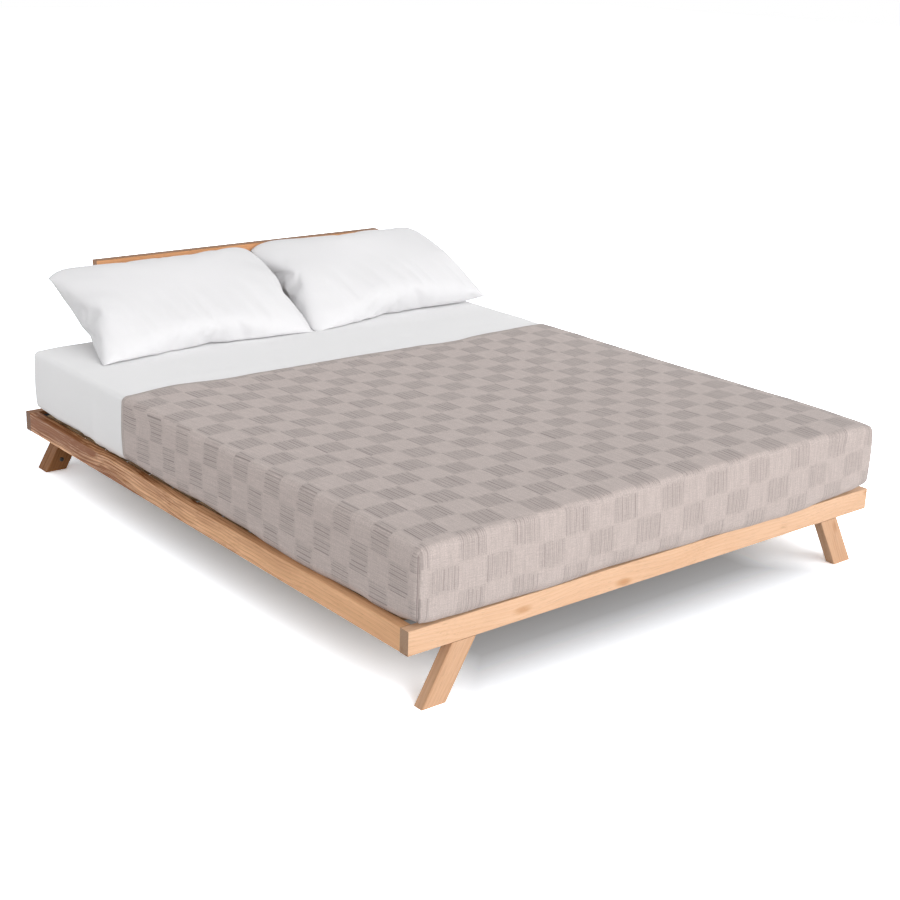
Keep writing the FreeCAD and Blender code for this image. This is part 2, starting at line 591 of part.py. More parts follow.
# Tapes stapled along the tops of the slats.
for label, side in (("slat_tape_left", -1), ("slat_tape_right", 1)):
    tape = document.addObject("Part::Box", label)
    tape.Label = label
    tape.setExpression("Length", "sizes.tape_width")
    tape.setExpression("Width", LEDGER_LENGTH)
    tape.setExpression("Height", "sizes.tape_thickness")
    place(tape, f"{side} * sizes.tape_inset - sizes.tape_width / 2", f"{INNER_FOOT} + {LEDGER_START}",
          RAIL_TOP)


# Fasteners. Each kind is one node: turned solids set where the holes are.
ALONG, BACK, UP = (0, 1, 0), (0, -1, 0), (0, 0, 1)


def flat_face(corners):
    """A face through corners, of which those that fall together count once."""
    apart = [corner for step, corner in enumerate(corners) if corner != corners[step - 1]]
    return [Part.Face(Part.makePolygon(apart + apart[:1]))] if len(apart) > 2 else []


def turned(points, sides):
    """A many-sided solid round +Z from its half section, points of radius and height."""
    angles = [math.radians(angle) for angle in corner_angles(sides)]
    rings = [[Vector(radius * math.cos(angle), radius * math.sin(angle), height) for angle in angles]
             for radius, height in points]
    faces = flat_face(rings[0]) + flat_face(rings[-1])
    for low, high in zip(rings, rings[1:]):
        for step in range(sides):
            faces += flat_face([low[step - 1], low[step], high[step], high[step - 1]])
    return Part.Solid(Part.Shell(faces)).removeSplitter()


def screw(length):
    """A screw from its head's seat at the origin, with the shank along -Z."""
    shank = worth("sizes.screw_radius")
    head = worth("sizes.screw_head_radius")
    rise = worth("sizes.screw_head_height")
    reach = worth(length)
    return turned([(0, -reach), (shank, 2 * shank - reach), (shank, 0), (head, 0), (head / 2, rise)],
                  SCREW_SIDES)


def fasteners(label, pattern, seats):
    """Copies of a pattern at its seats, each a point and the way that the head looks."""
    solids = []
    for spot, way in seats:
        solid = pattern.copy()
        turn = Rotation(Vector(*UP), Vector(*way))
        solid.Placement = Placement(Vector(*[worth(each) for each in spot]), turn)
        solids.append(solid)
    group = document.addObject("Part::Feature", label)
    group.Label = label
    group.Shape = Part.makeCompound(solids)
    group.Placement = Placement()


fasteners("leg_screws", screw("sizes.leg_screw_length"),
          [((spot, INNER_FOOT, LAP_MIDDLE), ALONG) for spot in leg_screw_spots])

bracket_seats = []
for side in (-1, 1):
    for wall, way in ((INNER_FOOT, 1), (INNER_HEAD, -1)):
        for rise in BRACKET_HOLE_RISES:
            height = f"sizes.rail_bottom + {BRACKET_DROP} + {rise}"
            bracket_seats.append(((f"{side} * ({INNER_SIDE} - sizes.bracket_hole_reach)",
                                   f"{wall} + {way} * sizes.bracket_sheet", height), (0, way, 0)))
            bracket_seats.append(((f"{side} * ({INNER_SIDE} - sizes.bracket_sheet)",
                                   f"{wall} + {way} * sizes.bracket_hole_reach", height), (-side, 0, 0)))
fasteners("bracket_screws", screw("sizes.bracket_screw_length"), bracket_seats)

fasteners("ledger_screws", screw("sizes.ledger_screw_length"), [
    ((f"{side} * ({INNER_SIDE} - sizes.ledger_thickness)", f"{INNER_FOOT} + {LEDGER_START} + {along}",
      f"{SLAT_SEAT} - sizes.ledger_height / 2"), (-side, 0, 0))
    for side in (-1, 1) for along in LEDGER_SCREW_PLACES])

fasteners("shoe_screws", screw("sizes.bracket_screw_length"), [
    ((f"{step} * sizes.shoe_screw_spread", f"{wall} + {way} * sizes.shoe_sheet",
      "sizes.rail_bottom + sizes.rail_height / 2 - sizes.shoe_screw_drop"), (0, way, 0))
    for step in (-1, 1) for wall, way in ((INNER_FOOT, 1), (INNER_HEAD, -1))])

fasteners("centre_leg_screws", screw("sizes.post_screw_length"), [
    ((POST_CHEEK_END, f"{INNER_FOOT} + {along}", f"{BEAM_BOTTOM} + {up}"), (1, 0, 0))
    for along, up in post_screw_spots])

slat_ends = (f"{INNER_FOOT} + {LEDGER_START} + sizes.slat_width / 2",
             f"{INNER_FOOT} + {LEDGER_START} + {LEDGER_LENGTH} - sizes.slat_width / 2")
fasteners("slat_screws", screw("sizes.slat_screw_length"), [
    ((f"{side} * ({INNER_SIDE} - sizes.ledger_thickness / 2)", along, f"{RAIL_TOP} - {RECESS_DEPTH}"), UP)
    for side in (-1, 1) for along in slat_ends])

fasteners("panel_screws", screw("sizes.panel_screw_length"), [
    ((f"{side} * {leg_axis(height)}", f"{HEAD} + sizes.strut_thickness - {RECESS_DEPTH}", height), ALONG)
    for side in (-1, 1) for height in PANEL_SCREW_HEIGHTS])

# Headboard bolts from the legs' inner faces, and sleeve nuts from the struts' backs.
bolt_length = worth("sizes.rail_thickness + sizes.strut_thickness - sizes.bolt_end_gap")
bolt_shank, bolt_head = worth("sizes.bolt_radius"), worth("sizes.bolt_head_radius")
flange = worth(NUT_FLANGE)
bolt = turned([(bolt_shank, -bolt_length), (bolt_shank, 0), (bolt_head, 0), (bolt_head, flange / 2),
               (bolt_head - flange / 2, flange), (bolt_shank / 2, flange), (bolt_shank / 2, flange / 2)],
              BOLT_SIDES)
bolt_seats = [(f"{side} * {leg_axis(height)}", height) for side in (-1, 1) for height in BOLT_HEIGHTS]
fasteners("headboard_bolts", bolt, [((spot, INNER_HEAD, height), BACK) for spot, height in bolt_seats])

sleeve, reach = worth("sizes.sleeve_radius"), worth("sizes.sleeve_length - sizes.bolt_hole_slack")
bore, gap = worth(BOLT_HOLE), worth("sizes.bolt_end_gap - sizes.bolt_hole_slack")
nut = turned([(bore, -gap), (bore, -reach), (sleeve, -reach), (sleeve, 0), (bolt_head, 0),
              (bolt_head, flange / 2), (bolt_head - flange / 2, flange)], BOLT_SIDES)
fasteners("headboard_cap_nuts", nut,
          [((spot, f"{HEAD} + sizes.strut_thickness", height), ALONG) for spot, height in bolt_seats])

# Levelling feet: a stud in the post, a nut under it, and a round sole on the floor.
sole, collar = worth("sizes.glide_radius"), worth("sizes.glide_collar_radius")
stud, sole_rise = worth("sizes.glide_stud_radius"), worth("sizes.glide_sole_height")
seat = worth("sizes.post_glide_height")
glide = turned([(sole, 0), (sole, sole_rise / 2), (collar, sole_rise), (collar, seat), (stud, seat),
                (stud, seat + worth("sizes.glide_stud_rise"))], BOLT_SIDES)
fasteners("levelling_feet", glide, [(("0", f"{INNER_FOOT} + {along}", "0"), UP) for along in POST_PLACES])


# Mattress and the cloths on it: one rounded slab, drawn again a little larger for each skin.
def slab(label, offset, length, low="0"):
    """The mattress's form, grown by an offset on every side but its bottom."""
    body = new_body(label)
    half = f"(sizes.mattress_width / 2 + {offset})"
    plan = new_sketch(body, "XY_Plane", low)
    outline(plan, [
        (f"-{half}", f"-{offset}"),
        (half, f"-{offset}"),
        (half, length),
        (f"-{half}", length),
    ])
    core = pad(body, plan, f"sizes.mattress_thickness + {offset} - ({low})")
    document.recompute()
    upright = [f"Edge{n}" for n, edge in enumerate(core.Shape.Edges, 1)
               if abs(edge.tangentAt(edge.FirstParameter).z) > PARALLEL]
    return body, core, upright


def rounded(body, base, names, radius):
    feature = body.newObject("PartDesign::Fillet", body.Label + "_round")
    feature.Base = (base, names)
    feature.setExpression("Radius", radius)
    document.recompute()
    return feature


def rim(feature, height):
    """The names of the edges that lie at one height."""
    return [f"Edge{n}" for n, edge in enumerate(feature.Shape.Edges, 1)
            if abs(edge.BoundBox.ZMin - height) < LEVEL and abs(edge.BoundBox.ZMax - height) < LEVEL]


def mattress_form(label, offset, bottom):
    body, core, upright = slab(label, offset, f"sizes.mattress_length + {offset}", bottom)
    corners = rounded(body, core, upright, f"sizes.mattress_corner + {offset}")
    top = worth(f"sizes.mattress_thickness + {offset}")
    crown = rounded(body, corners, rim(corners, top), f"sizes.mattress_top_round + {offset}")
    rounded(body, crown, rim(crown, worth(bottom)), f"sizes.mattress_bottom_round + {offset}")
    place(body, along=MATTRESS_FOOT, up=MATTRESS_BOTTOM)
    return body


mattress_form("mattress", "0", "0")


def skin(label, inner_offset, outer_offset, reach):
    """A cloth over the mattress's top and sides, ending short of its flat bottom."""
    outer = mattress_form(label + "_outside", outer_offset, f"-{outer_offset}")
    inner = mattress_form(label + "_inside", inner_offset, f"-{inner_offset}")
    shell = document.addObject("Part::Cut", label + "_shell")
    shell.Base, shell.Tool = outer, inner
    keep = document.addObject("Part::Box", label + "_extent")
    keep.setExpression("Length", FRAME_WIDTH)
    keep.setExpression("Width", reach)
    keep.setExpression("Height", "2 * sizes.mattress_thickness")
    place(keep, f"-{FRAME_WIDTH} / 2", f"{FOOT} - sizes.foot_overhang - sizes.overrun",
          f"{MATTRESS_BOTTOM} + sizes.tuck_gap")
    cloth = document.addObject("Part::Common", label)
    cloth.Label = label
    cloth.Base, cloth.Tool = shell, keep


skin("fitted_sheet", "sizes.soft_gap", SHEET_OFFSET, FRAME_LENGTH)
skin("blanket", f"({SHEET_OFFSET} + sizes.soft_gap)", BLANKET_OFFSET,
     "sizes.blanket_reach + sizes.foot_overhang + sizes.overrun")

# Pillows: crowned forms shared by four drums, two that bulge across the depth and two along the
# width, so that creases run in from the corners; then all four sides are drawn in. They lean with
# the belly on the sheet and the upper seam at the headboard.
def drum(label, radius, height, across="0", along="0", up="0", turn=0, axis=Vector(0, 0, 1)):
    cylinder = document.addObject("Part::Cylinder", label)
    cylinder.setExpression("Radius", radius)
    cylinder.setExpression("Height", height)
    place(cylinder, across, along, up, turn, axis)
    return cylinder


def pillow(label, middle):
    width, depth = "sizes.pillow_width", "sizes.pillow_depth"
    crown, ends = "(sizes.pillow_thickness / 2)", "sizes.pillow_end_rise"
    depth_radius = f"(({depth} / 2) ^ 2 + {crown} ^ 2) / (2 * {crown})"
    width_radius = f"(({width} / 2) ^ 2 + {ends} ^ 2) / (2 * {ends})"
    short_radius = f"({depth} ^ 2 / (8 * sizes.pillow_draw) + sizes.pillow_draw / 2)"
    long_radius = f"({width} ^ 2 / (8 * sizes.pillow_long_draw) + sizes.pillow_long_draw / 2)"
    bulges, draws = [], []
    for side in (-1, 1):
        bulges.append(drum(label + "_bulge", depth_radius, width, f"-{width} / 2", "0",
                           f"{side} * ({crown} - {depth_radius})", 90, Vector(0, 1, 0)))
        bulges.append(drum(label + "_bulge", width_radius, depth, "0", f"-{depth} / 2",
                           f"{side} * ({ends} - {width_radius})", -90, Vector(1, 0, 0)))
        draws.append(drum(label + "_draw", short_radius, "sizes.pillow_thickness",
                          f"{side} * ({width} / 2 - sizes.pillow_draw + {short_radius})", "0", f"-{crown}"))
        draws.append(drum(label + "_draw", long_radius, "sizes.pillow_thickness", "0",
                          f"{side} * ({depth} / 2 - sizes.pillow_long_draw + {long_radius})", f"-{crown}"))
    filled = document.addObject("Part::MultiCommon", label + "_filled")
    filled.Shapes = bulges
    sides = document.addObject("Part::MultiFuse", label + "_sides")
    sides.Shapes = draws
    cushion = document.addObject("Part::Cut", label)
    cushion.Label = label
    cushion.Base, cushion.Tool = filled, sides
    lean = Rotation(Vector(1, 0, 0), worth("asin(sizes.pillow_rise / sizes.pillow_depth)"))
    cushion.Placement = Placement(Vector(), lean)
    document.recompute()
    bounds = cushion.Shape.optimalBoundingBox()
    along = worth(f"{HEAD} - sizes.soft_gap") - bounds.YMax
    up = worth(f"{MATTRESS_TOP} + {SHEET_OFFSET} + sizes.soft_gap") - bounds.ZMin
    cushion.Placement = Placement(Vector(worth(middle), along, up), lean)


pillow("pillow_left", "sizes.pillow_shift - (sizes.pillow_width + sizes.pillow_gap) / 2")
pillow("pillow_right", "sizes.pillow_shift + (sizes.pillow_width + sizes.pillow_gap) / 2")

document.recompute()

# Every piece is checked, then each is written under its own name.
helpers = ("_outside", "_inside", "_shell", "_extent")
kinds = ("PartDesign::Body", "Part::Feature", "Part::Box", "Part::Common", "Part::Cut")
pieces = []
for item in document.Objects:
    if "Invalid" in item.State or "Error" in item.State:
        raise RuntimeError(f"{item.Name} failed: {item.State}")
    if item.TypeId in kinds and not item.Label.endswith(helpers):
        pieces.append(item)
os.makedirs("parts", exist_ok=True)
for item in pieces:
    if item.Shape.isNull() or not item.Shape.isValid():
        raise RuntimeError(f"{item.Label} has no sound shape")
for item in pieces:
    item.Shape.exportStep(f"parts/{item.Label}.step")
    print(item.Label, len(item.Shape.Solids), "solids", round(item.Shape.Volume), "mm3")
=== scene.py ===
import math
import bpy
from mathutils import Matrix, Vector, noise


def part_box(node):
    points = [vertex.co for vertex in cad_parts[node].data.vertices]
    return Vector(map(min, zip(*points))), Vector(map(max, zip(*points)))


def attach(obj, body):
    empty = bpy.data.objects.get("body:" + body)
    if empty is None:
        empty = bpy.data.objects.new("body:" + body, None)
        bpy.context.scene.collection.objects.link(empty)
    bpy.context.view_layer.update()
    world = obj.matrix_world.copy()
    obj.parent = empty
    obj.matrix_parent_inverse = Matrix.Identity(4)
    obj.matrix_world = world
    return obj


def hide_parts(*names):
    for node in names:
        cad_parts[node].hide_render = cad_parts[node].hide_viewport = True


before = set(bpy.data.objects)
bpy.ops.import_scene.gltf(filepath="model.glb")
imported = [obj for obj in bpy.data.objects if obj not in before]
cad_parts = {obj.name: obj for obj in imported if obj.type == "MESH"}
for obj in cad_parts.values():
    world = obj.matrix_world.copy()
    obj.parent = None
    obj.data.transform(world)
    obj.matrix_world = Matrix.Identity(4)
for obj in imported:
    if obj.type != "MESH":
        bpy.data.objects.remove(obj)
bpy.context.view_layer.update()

# The view: seen from the foot-left corner at about a grown person's eye height, through a short
# telephoto lens. The camera leans a little, as the photographer's did.
camera_place = Vector((-2.8117, -3.5354, 1.7167))
camera_azimuth, camera_elevation, camera_roll = (math.radians(angle) for angle in (-38.90, 18.552, 1.609))
lens_millimetres = 60.905
shift_across, shift_up = 0.0200, 0.0013


def placed(name, data):
    """A new object in the scene, with this mesh, lamp or camera."""
    made = bpy.data.objects.new(name, data)
    bpy.context.collection.objects.link(made)
    return made


camera_data = bpy.data.cameras.new("camera")
camera_data.lens = lens_millimetres
camera_data.shift_x, camera_data.shift_y = shift_across, shift_up
camera = placed("camera", camera_data)
back = Vector((math.sin(camera_azimuth) * math.cos(camera_elevation),
               -math.cos(camera_azimuth) * math.cos(camera_elevation),
               math.sin(camera_elevation)))
level_right = Vector((0, 0, 1)).cross(back).normalized()
level_up = back.cross(level_right)
right = level_right * math.cos(camera_roll) + level_up * math.sin(camera_roll)
up = level_up * math.cos(camera_roll) - level_right * math.sin(camera_roll)
camera.matrix_world = Matrix.Translation(camera_place) @ Matrix((right, up, back)).transposed().to_4x4()
bpy.context.scene.camera = camera

# The studio: a white floor that keeps the bed's shadow, with painted shadow that deepens its tone under
# the bed and painted light that makes it paler round it, one broad lamp beyond the foot, and an even
# light from all round that is brighter near the horizon.
floor_size = 60
seen_floor, lit_floor = (1.04, 1.09, 1.15, 1), (0.66, 0.66, 0.66, 1)
floor_lift = 0.07
# The floor's painted shadow, seen directly: a half size to measure out from, then (distance out, tone)
# at both ends. The first darkens the floor under the bed and pales it round the bed; the second darkens
# it further under the bed's middle.
painted_shadow_half, painted_shadow_from, painted_shadow_to = (0.855, 1.25), (-0.35, 0.55), (0.05, 2.50)
painted_core_shadow_half, painted_core_shadow_from, painted_core_shadow_to = (0.60, 0.69), (-0.10, 0.12), (0.02, 1.0)
key_direction = Vector((0.06, -0.90, 0.43))
key_strength = 1.85
key_angle = math.radians(50)
sky_strength, horizon_strength, sky_height = 0.44, 1.55, 0.8


def feed(node, inputs):
    """Sets a node's inputs, each to a number, a colour or another node's output."""
    for key, value in inputs.items():
        if isinstance(value, bpy.types.NodeSocket):
            node.id_data.links.new(value, node.inputs[key])
        else:
            node.inputs[key].default_value = value
    return node


def add_node(tree, kind, inputs=None, **settings):
    """A shader node with its settings and inputs."""
    made = tree.nodes.new(kind)
    for name, value in settings.items():
        setattr(made, name, value)
    return feed(made, inputs or {})


def worked(kind, inputs, **settings):
    """The outputs of a shader node that works on other nodes; it is put in their tree."""
    tree = next(value.id_data for value in inputs.values() if isinstance(value, bpy.types.NodeSocket))
    return add_node(tree, kind, inputs, **settings).outputs


def reckon(operation, first, second=0.0, clamp=False):
    """A sum worked out all over the surface."""
    return worked("ShaderNodeMath", {0: first, 1: second}, operation=operation, use_clamp=clamp)[0]


def plus(first, second):
    return reckon("ADD", first, second)


def minus(first, second):
    return reckon("SUBTRACT", first, second)


def times(first, second):
    return reckon("MULTIPLY", first, second)


def scaled(vector, share):
    """A place or a colour, all of it multiplied by one value."""
    return worked("ShaderNodeVectorMath", {0: vector, 3: share}, operation="SCALE")[0]


def axes_of(vector):
    return worked("ShaderNodeSeparateXYZ", {0: vector})


def between(value, low, high, start=0.0, end=1.0, course="SMOOTHSTEP"):
    """A value's place between two levels, held at both ends."""
    return worked("ShaderNodeMapRange", {"Value": value, "From Min": low, "From Max": high,
                                         "To Min": start, "To Max": end}, interpolation_type=course)[0]


def blended(share, first, second):
    """One colour turning into another."""
    return worked("ShaderNodeMix", {"Factor": share, 6: first, 7: second}, data_type="RGBA")[2]


def new_material(name):
    """A material, with its tree and its shader."""
    material = bpy.data.materials.new(name)
    material.use_nodes = True
    return material, material.node_tree, material.node_tree.nodes["Principled BSDF"]


def seen_directly(tree):
    """1 where the camera, a reflection or clear glass looks straight at the surface."""
    path = add_node(tree, "ShaderNodeLightPath").outputs
    either = plus(path["Is Camera Ray"], path["Is Glossy Ray"])
    return reckon("ADD", either, path["Is Transmission Ray"], True)


floor_material, tree, _ = new_material("studio_floor")
tree.nodes.clear()
seen = seen_directly(tree)
spot = axes_of(add_node(tree, "ShaderNodeTexCoord").outputs["Object"])
# Painted shadow and painted light: the floor's seen colour is multiplied by tones that darken it under the
# bed and pale it round the bed.
painted_shadow_tones = []
for half, near, far in ((painted_shadow_half, painted_shadow_from, painted_shadow_to), (painted_core_shadow_half, painted_core_shadow_from, painted_core_shadow_to)):
    ways = [minus(reckon("ABSOLUTE", spot[axis]), half[axis]) for axis in (0, 1)]
    painted_shadow_tones.append(between(reckon("MAXIMUM", *ways), near[0], far[0], near[1], far[1], "LINEAR"))
tint = blended(seen, lit_floor, scaled(seen_floor[:3], times(*painted_shadow_tones)))
matt = add_node(tree, "ShaderNodeBsdfDiffuse", {"Color": tint})
glow = add_node(tree, "ShaderNodeEmission", {"Strength": times(seen, floor_lift)})
both = add_node(tree, "ShaderNodeAddShader", {0: matt.outputs[0], 1: glow.outputs[0]})
add_node(tree, "ShaderNodeOutputMaterial", {"Surface": both.outputs[0]})

bpy.ops.mesh.primitive_plane_add(size=floor_size)
floor = bpy.context.object
floor.name = "studio_floor"
floor.data.materials.append(floor_material)

lamp = bpy.data.lights.new("key_lamp", "SUN")
lamp.energy = key_strength
lamp.angle = key_angle
key = placed("key_lamp", lamp)
key.rotation_euler = key_direction.to_track_quat("Z", "Y").to_euler()

world = bpy.data.worlds.new("studio")
bpy.context.scene.world = world
world.use_nodes = True
tree = world.node_tree
tree.nodes.clear()
rise = axes_of(add_node(tree, "ShaderNodeTexCoord").outputs["Generated"])[2]
glow = between(rise, 0.0, sky_height, horizon_strength, sky_strength, "LINEAR")
level = worked("ShaderNodeMix", {"Factor": seen_directly(tree), 2: glow, 3: 1.0})[0]
room = add_node(tree, "ShaderNodeBackground", {"Color": (1, 1, 1, 1), "Strength": level})
add_node(tree, "ShaderNodeOutputWorld", {"Surface": room.outputs[0]})
bpy.context.scene.view_settings.view_transform = "Standard"

# Timber: one group draws boards sawn from a log. Its grain runs along local X, growth rings lie
# round a pith beside the board, and fine pores run with the grain. End grain comes out darker.
rings_per_metre = 120.0
pith_warp, knot_stretch = (0.0, 0.05, 0.05), (4.6, 13.0, 13.0)


def shader_group(name, inputs, outputs):
    """An effect that materials share: its tree, and what it is given."""
    group = bpy.data.node_groups.new(name, "ShaderNodeTree")
    for way, sockets in (("INPUT", inputs), ("OUTPUT", outputs)):
        for label, kind in sockets.items():
            group.interface.new_socket(label, in_out=way, socket_type=kind)
    return group, add_node(group, "NodeGroupInput").outputs


def stretched(vector, by):
    """A place with each axis multiplied by its own number."""
    return worked("ShaderNodeVectorMath", {0: vector, 1: by}, operation="MULTIPLY")[0]


def mottle(place, scale, detail, rough=0.5):
    """Noise from 0 to 1 over the surface."""
    return worked("ShaderNodeTexNoise", {"Vector": place, "Scale": scale, "Detail": detail,
                                         "Roughness": rough})["Fac"]


def bumped(height, strength, distance):
    """The surface's facing with a height drawn into it."""
    return worked("ShaderNodeBump", {"Height": height, "Strength": strength, "Distance": distance})[0]


def streaks(along, across, detail=2.0, rough=0.5):
    """Noise drawn out along the grain."""
    return mottle(stretched(warped, (along, across, across)), 1.0, detail, rough)


timber, given = shader_group(
    "sawn_timber",
    {"Place": "NodeSocketVector", "Facing": "NodeSocketVector", "Light": "NodeSocketColor",
     "Dark": "NodeSocketColor", "Figure": "NodeSocketFloat"},
    {"Color": "NodeSocketColor", "Height": "NodeSocketFloat", "Roughness": "NodeSocketFloat"})
bend = worked("ShaderNodeTexNoise", {"Vector": given["Place"], "Scale": 2.4, "Detail": 1.5})["Color"]
offset = worked("ShaderNodeVectorMath", {0: bend, 1: (0.5, 0.5, 0.5)}, operation="SUBTRACT")[0]
warped = worked("ShaderNodeVectorMath", {0: given["Place"], 1: stretched(offset, pith_warp)})[0]
radius = worked("ShaderNodeVectorMath", {0: stretched(warped, (0, 1, 1))}, operation="LENGTH")["Value"]
late = between(reckon("FRACT", times(radius, rings_per_metre)), 0.35, 1.0)
fibres = streaks(6.0, 420.0, 3.0, 0.6)
cloud = streaks(2.0, 14.0)
pores = between(streaks(22.0, 900.0, 1.0), 0.60, 0.70)
knot = worked("ShaderNodeTexVoronoi", {"Vector": stretched(warped, knot_stretch), "Scale": 1.0})["Distance"]
knots = between(knot, 0.05, 0.20, 1.0, 0.0)
mix = plus(times(late, 0.30), plus(between(fibres, 0.3, 0.7, 0.0, 0.36),
                                   between(cloud, 0.35, 0.7, -0.05, 0.40)))
figure = reckon("ADD", times(mix, given["Figure"]), times(knots, 0.75), True)
end_grain = between(reckon("ABSOLUTE", axes_of(given["Facing"])[0]), 0.6, 0.95)
shade = minus(1.0, plus(times(pores, 0.18), times(end_grain, 0.50)))
add_node(timber, "NodeGroupOutput", {
    "Color": scaled(blended(figure, given["Light"], given["Dark"]), shade),
    "Height": minus(times(fibres, 0.5), pores), "Roughness": between(fibres, 0.3, 0.7, 0.42, 0.56)})

pith_offset = Vector((0.0, 0.055, 0.042))
board_stride = 1.73
timber_gloss, grain_bump, grain_depth = 0.12, 0.25, 0.0004
# A finish: its light and dark tones, its figure at the board's two ends, and the painted shade of a top
# face.
oiled = (0.74, 0.485, 0.320, 1), (0.52, 0.270, 0.135, 1), 0.45, 0.45
leg = (0.64, 0.400, 0.255, 1), (0.42, 0.215, 0.105, 1), 0.6, 0.6
side = (0.78, 0.450, 0.245, 1), (0.21, 0.066, 0.012, 1), 0.30, 1.9
# The panel's last number darkens its top face as painted shade.
panel = (0.70, 0.370, 0.190, 1), (0.34, 0.130, 0.042, 1), 0.5, 0.7, 0.45
head = (0.34, 0.152, 0.060, 1), (0.18, 0.073, 0.026, 1), 0.9, 0.9
inner = (0.54, 0.375, 0.225, 1), (0.38, 0.230, 0.115, 1), 1.0, 1.0


def dress(node, material):
    """Gives a CAD node its material."""
    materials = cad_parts[node].data.materials
    materials.clear()
    materials.append(material)


def board_finish(node, grain, number, light, dark, near_figure, far_figure, painted_top_shade=1.0):
    """A board's own material, its grain along the board, its figure stronger towards one end, and its upward
    face darkened as painted shade where the finish asks.
    """
    low, high = (Vector(corner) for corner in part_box(node))
    turn = grain.rotation_difference(Vector((1, 0, 0)))
    flip = -1 if number % 2 else 1
    start = Vector((board_stride * number, flip * pith_offset.y, (1 + number % 3) * pith_offset.z))
    reach = max(high - low) / 2
    material, tree, shader = new_material(node + "_timber")
    place = add_node(tree, "ShaderNodeTexCoord").outputs
    board = worked("ShaderNodeMapping", {"Vector": place["Object"], "Rotation": turn.to_euler(),
                                         "Location": start - turn @ ((low + high) / 2)})[0]
    facing = worked("ShaderNodeMapping", {"Vector": place["Normal"], "Rotation": turn.to_euler()},
                    vector_type="VECTOR")[0]
    figure = between(axes_of(board)[0], start.x - reach, start.x + reach, near_figure, far_figure)
    drawn = add_node(tree, "ShaderNodeGroup", {"Place": board, "Facing": facing, "Light": light,
                                               "Dark": dark, "Figure": figure}, node_tree=timber).outputs
    # Painted shade: a face turned upwards is darkened by the finish's top-face share; only the headboard
    # panel asks for it.
    painted_top_shade_mask = between(axes_of(place["Normal"])[2], 0.5, 0.8, 1.0, painted_top_shade)
    feed(shader, {"Base Color": scaled(drawn["Color"], painted_top_shade_mask), "Roughness": drawn["Roughness"],
                  "Normal": bumped(drawn["Height"], grain_bump, grain_depth),
                  "Specular IOR Level": timber_gloss})
    dress(node, material)


ACROSS, ALONG, UPRIGHT = Vector((1, 0, 0)), Vector((0, 1, 0)), Vector((0, 0, 1))
LEAN_LEFT = Vector((math.sin(math.radians(30)), 0, math.cos(math.radians(30))))
LEAN_RIGHT = Vector((-LEAN_LEFT.x, 0, LEAN_LEFT.z))
boards = [("foot_rail", ACROSS, oiled), ("front_leg_left", LEAN_LEFT, leg),
          ("front_leg_right", LEAN_RIGHT, leg), ("side_rail_left", ALONG, side),
          ("side_rail_right", ALONG, side), ("headboard_panel", ACROSS, panel), ("head_rail", ACROSS, head),
          ("rear_leg_left", LEAN_LEFT, head), ("strut_left", LEAN_LEFT, head),
          ("rear_leg_right", LEAN_RIGHT, head), ("strut_right", LEAN_RIGHT, head),
          ("ledger_left", ALONG, inner), ("ledger_right", ALONG, inner), ("centre_beam", ALONG, inner),
          ("centre_leg_foot", UPRIGHT, inner), ("centre_leg_head", UPRIGHT, inner)]
boards += [(f"slat_{step + 1:02d}", ACROSS, inner) for step in range(14)]
for number, (node, grain, finish) in enumerate(boards):
    board_finish(node, grain, number, *finish)

# Brackets and shoes: folded steel sheet, zinc plated and passivated black, screwed inside the
# frame. The skin shows soft flakes, faint rolling lines and a duller film.
zinc_colour, zinc_dull = (0.050, 0.050, 0.052, 1), (0.090, 0.088, 0.086, 1)
scratch_stretch, scratch_bump, scratch_depth = (9.0, 9.0, 140.0), 0.15, 0.0001


def metal_finish(name, bright, dull, roughness, metallic, scale):
    """Plated or blackened steel: two tones in soft flakes, with fine scratches in its gloss."""
    material, tree, shader = new_material(name)
    place = add_node(tree, "ShaderNodeTexCoord").outputs["Object"]
    flakes = worked("ShaderNodeTexVoronoi", {"Vector": place, "Scale": scale})["Color"]
    film = mottle(place, scale / 6, 4.0, 0.6)
    scratches = mottle(stretched(place, scratch_stretch), 12.0, 2.0)
    tone = reckon("ADD", times(flakes, 0.35), between(film, 0.35, 0.65, 0.0, 0.6), True)
    feed(shader, {"Base Color": blended(tone, bright, dull),
                  "Roughness": between(scratches, 0.3, 0.7, roughness - 0.07, roughness + 0.09),
                  "Normal": bumped(scratches, scratch_bump, scratch_depth), "Metallic": metallic})
    return material


bracket_zinc = metal_finish("bracket_zinc", zinc_colour, zinc_dull, 0.46, 0.7, 160.0)
for node in ("corner_bracket_foot_left", "corner_bracket_foot_right", "corner_bracket_head_left",
             "corner_bracket_head_right", "beam_shoe_foot", "beam_shoe_head"):
    dress(node, bracket_zinc)

# Fasteners: pan-head wood screws of black passivated zinc plate, blackened flanged bolts and sleeve
# nuts. Each kind is turned once, its head cut for the driver, and copied into its holes.
turned_sides = 16
screw_shank, screw_head, screw_rise, thread_pitch, thread_depth = 0.0020, 0.0040, 0.0020, 0.0022, 0.0004
bolt_shank, bolt_head, bolt_rise = 0.0040, 0.0075, 0.0030
bolt_reach, sleeve_radius, sleeve_reach, sleeve_floor = 0.056, 0.0055, 0.0158, 0.0078
recess_width, recess_length, recess_height = 0.0009, 0.0044, 0.0024
socket_radius, socket_depth = 0.0029, 0.0020
merge_distance, smooth_angle = 0.00001, math.radians(35)
screw_zinc = metal_finish("screw_zinc", (0.048, 0.046, 0.044, 1), (0.080, 0.076, 0.072, 1),
                          0.58, 0.2, 700.0)
black_steel = metal_finish("black_steel", (0.045, 0.042, 0.040, 1), (0.085, 0.078, 0.070, 1),
                           0.42, 0.6, 500.0)


def take_up(piece):
    """Selects this piece alone, to be worked on."""
    bpy.ops.object.select_all(action="DESELECT")
    bpy.context.view_layer.objects.active = piece
    piece.select_set(True)


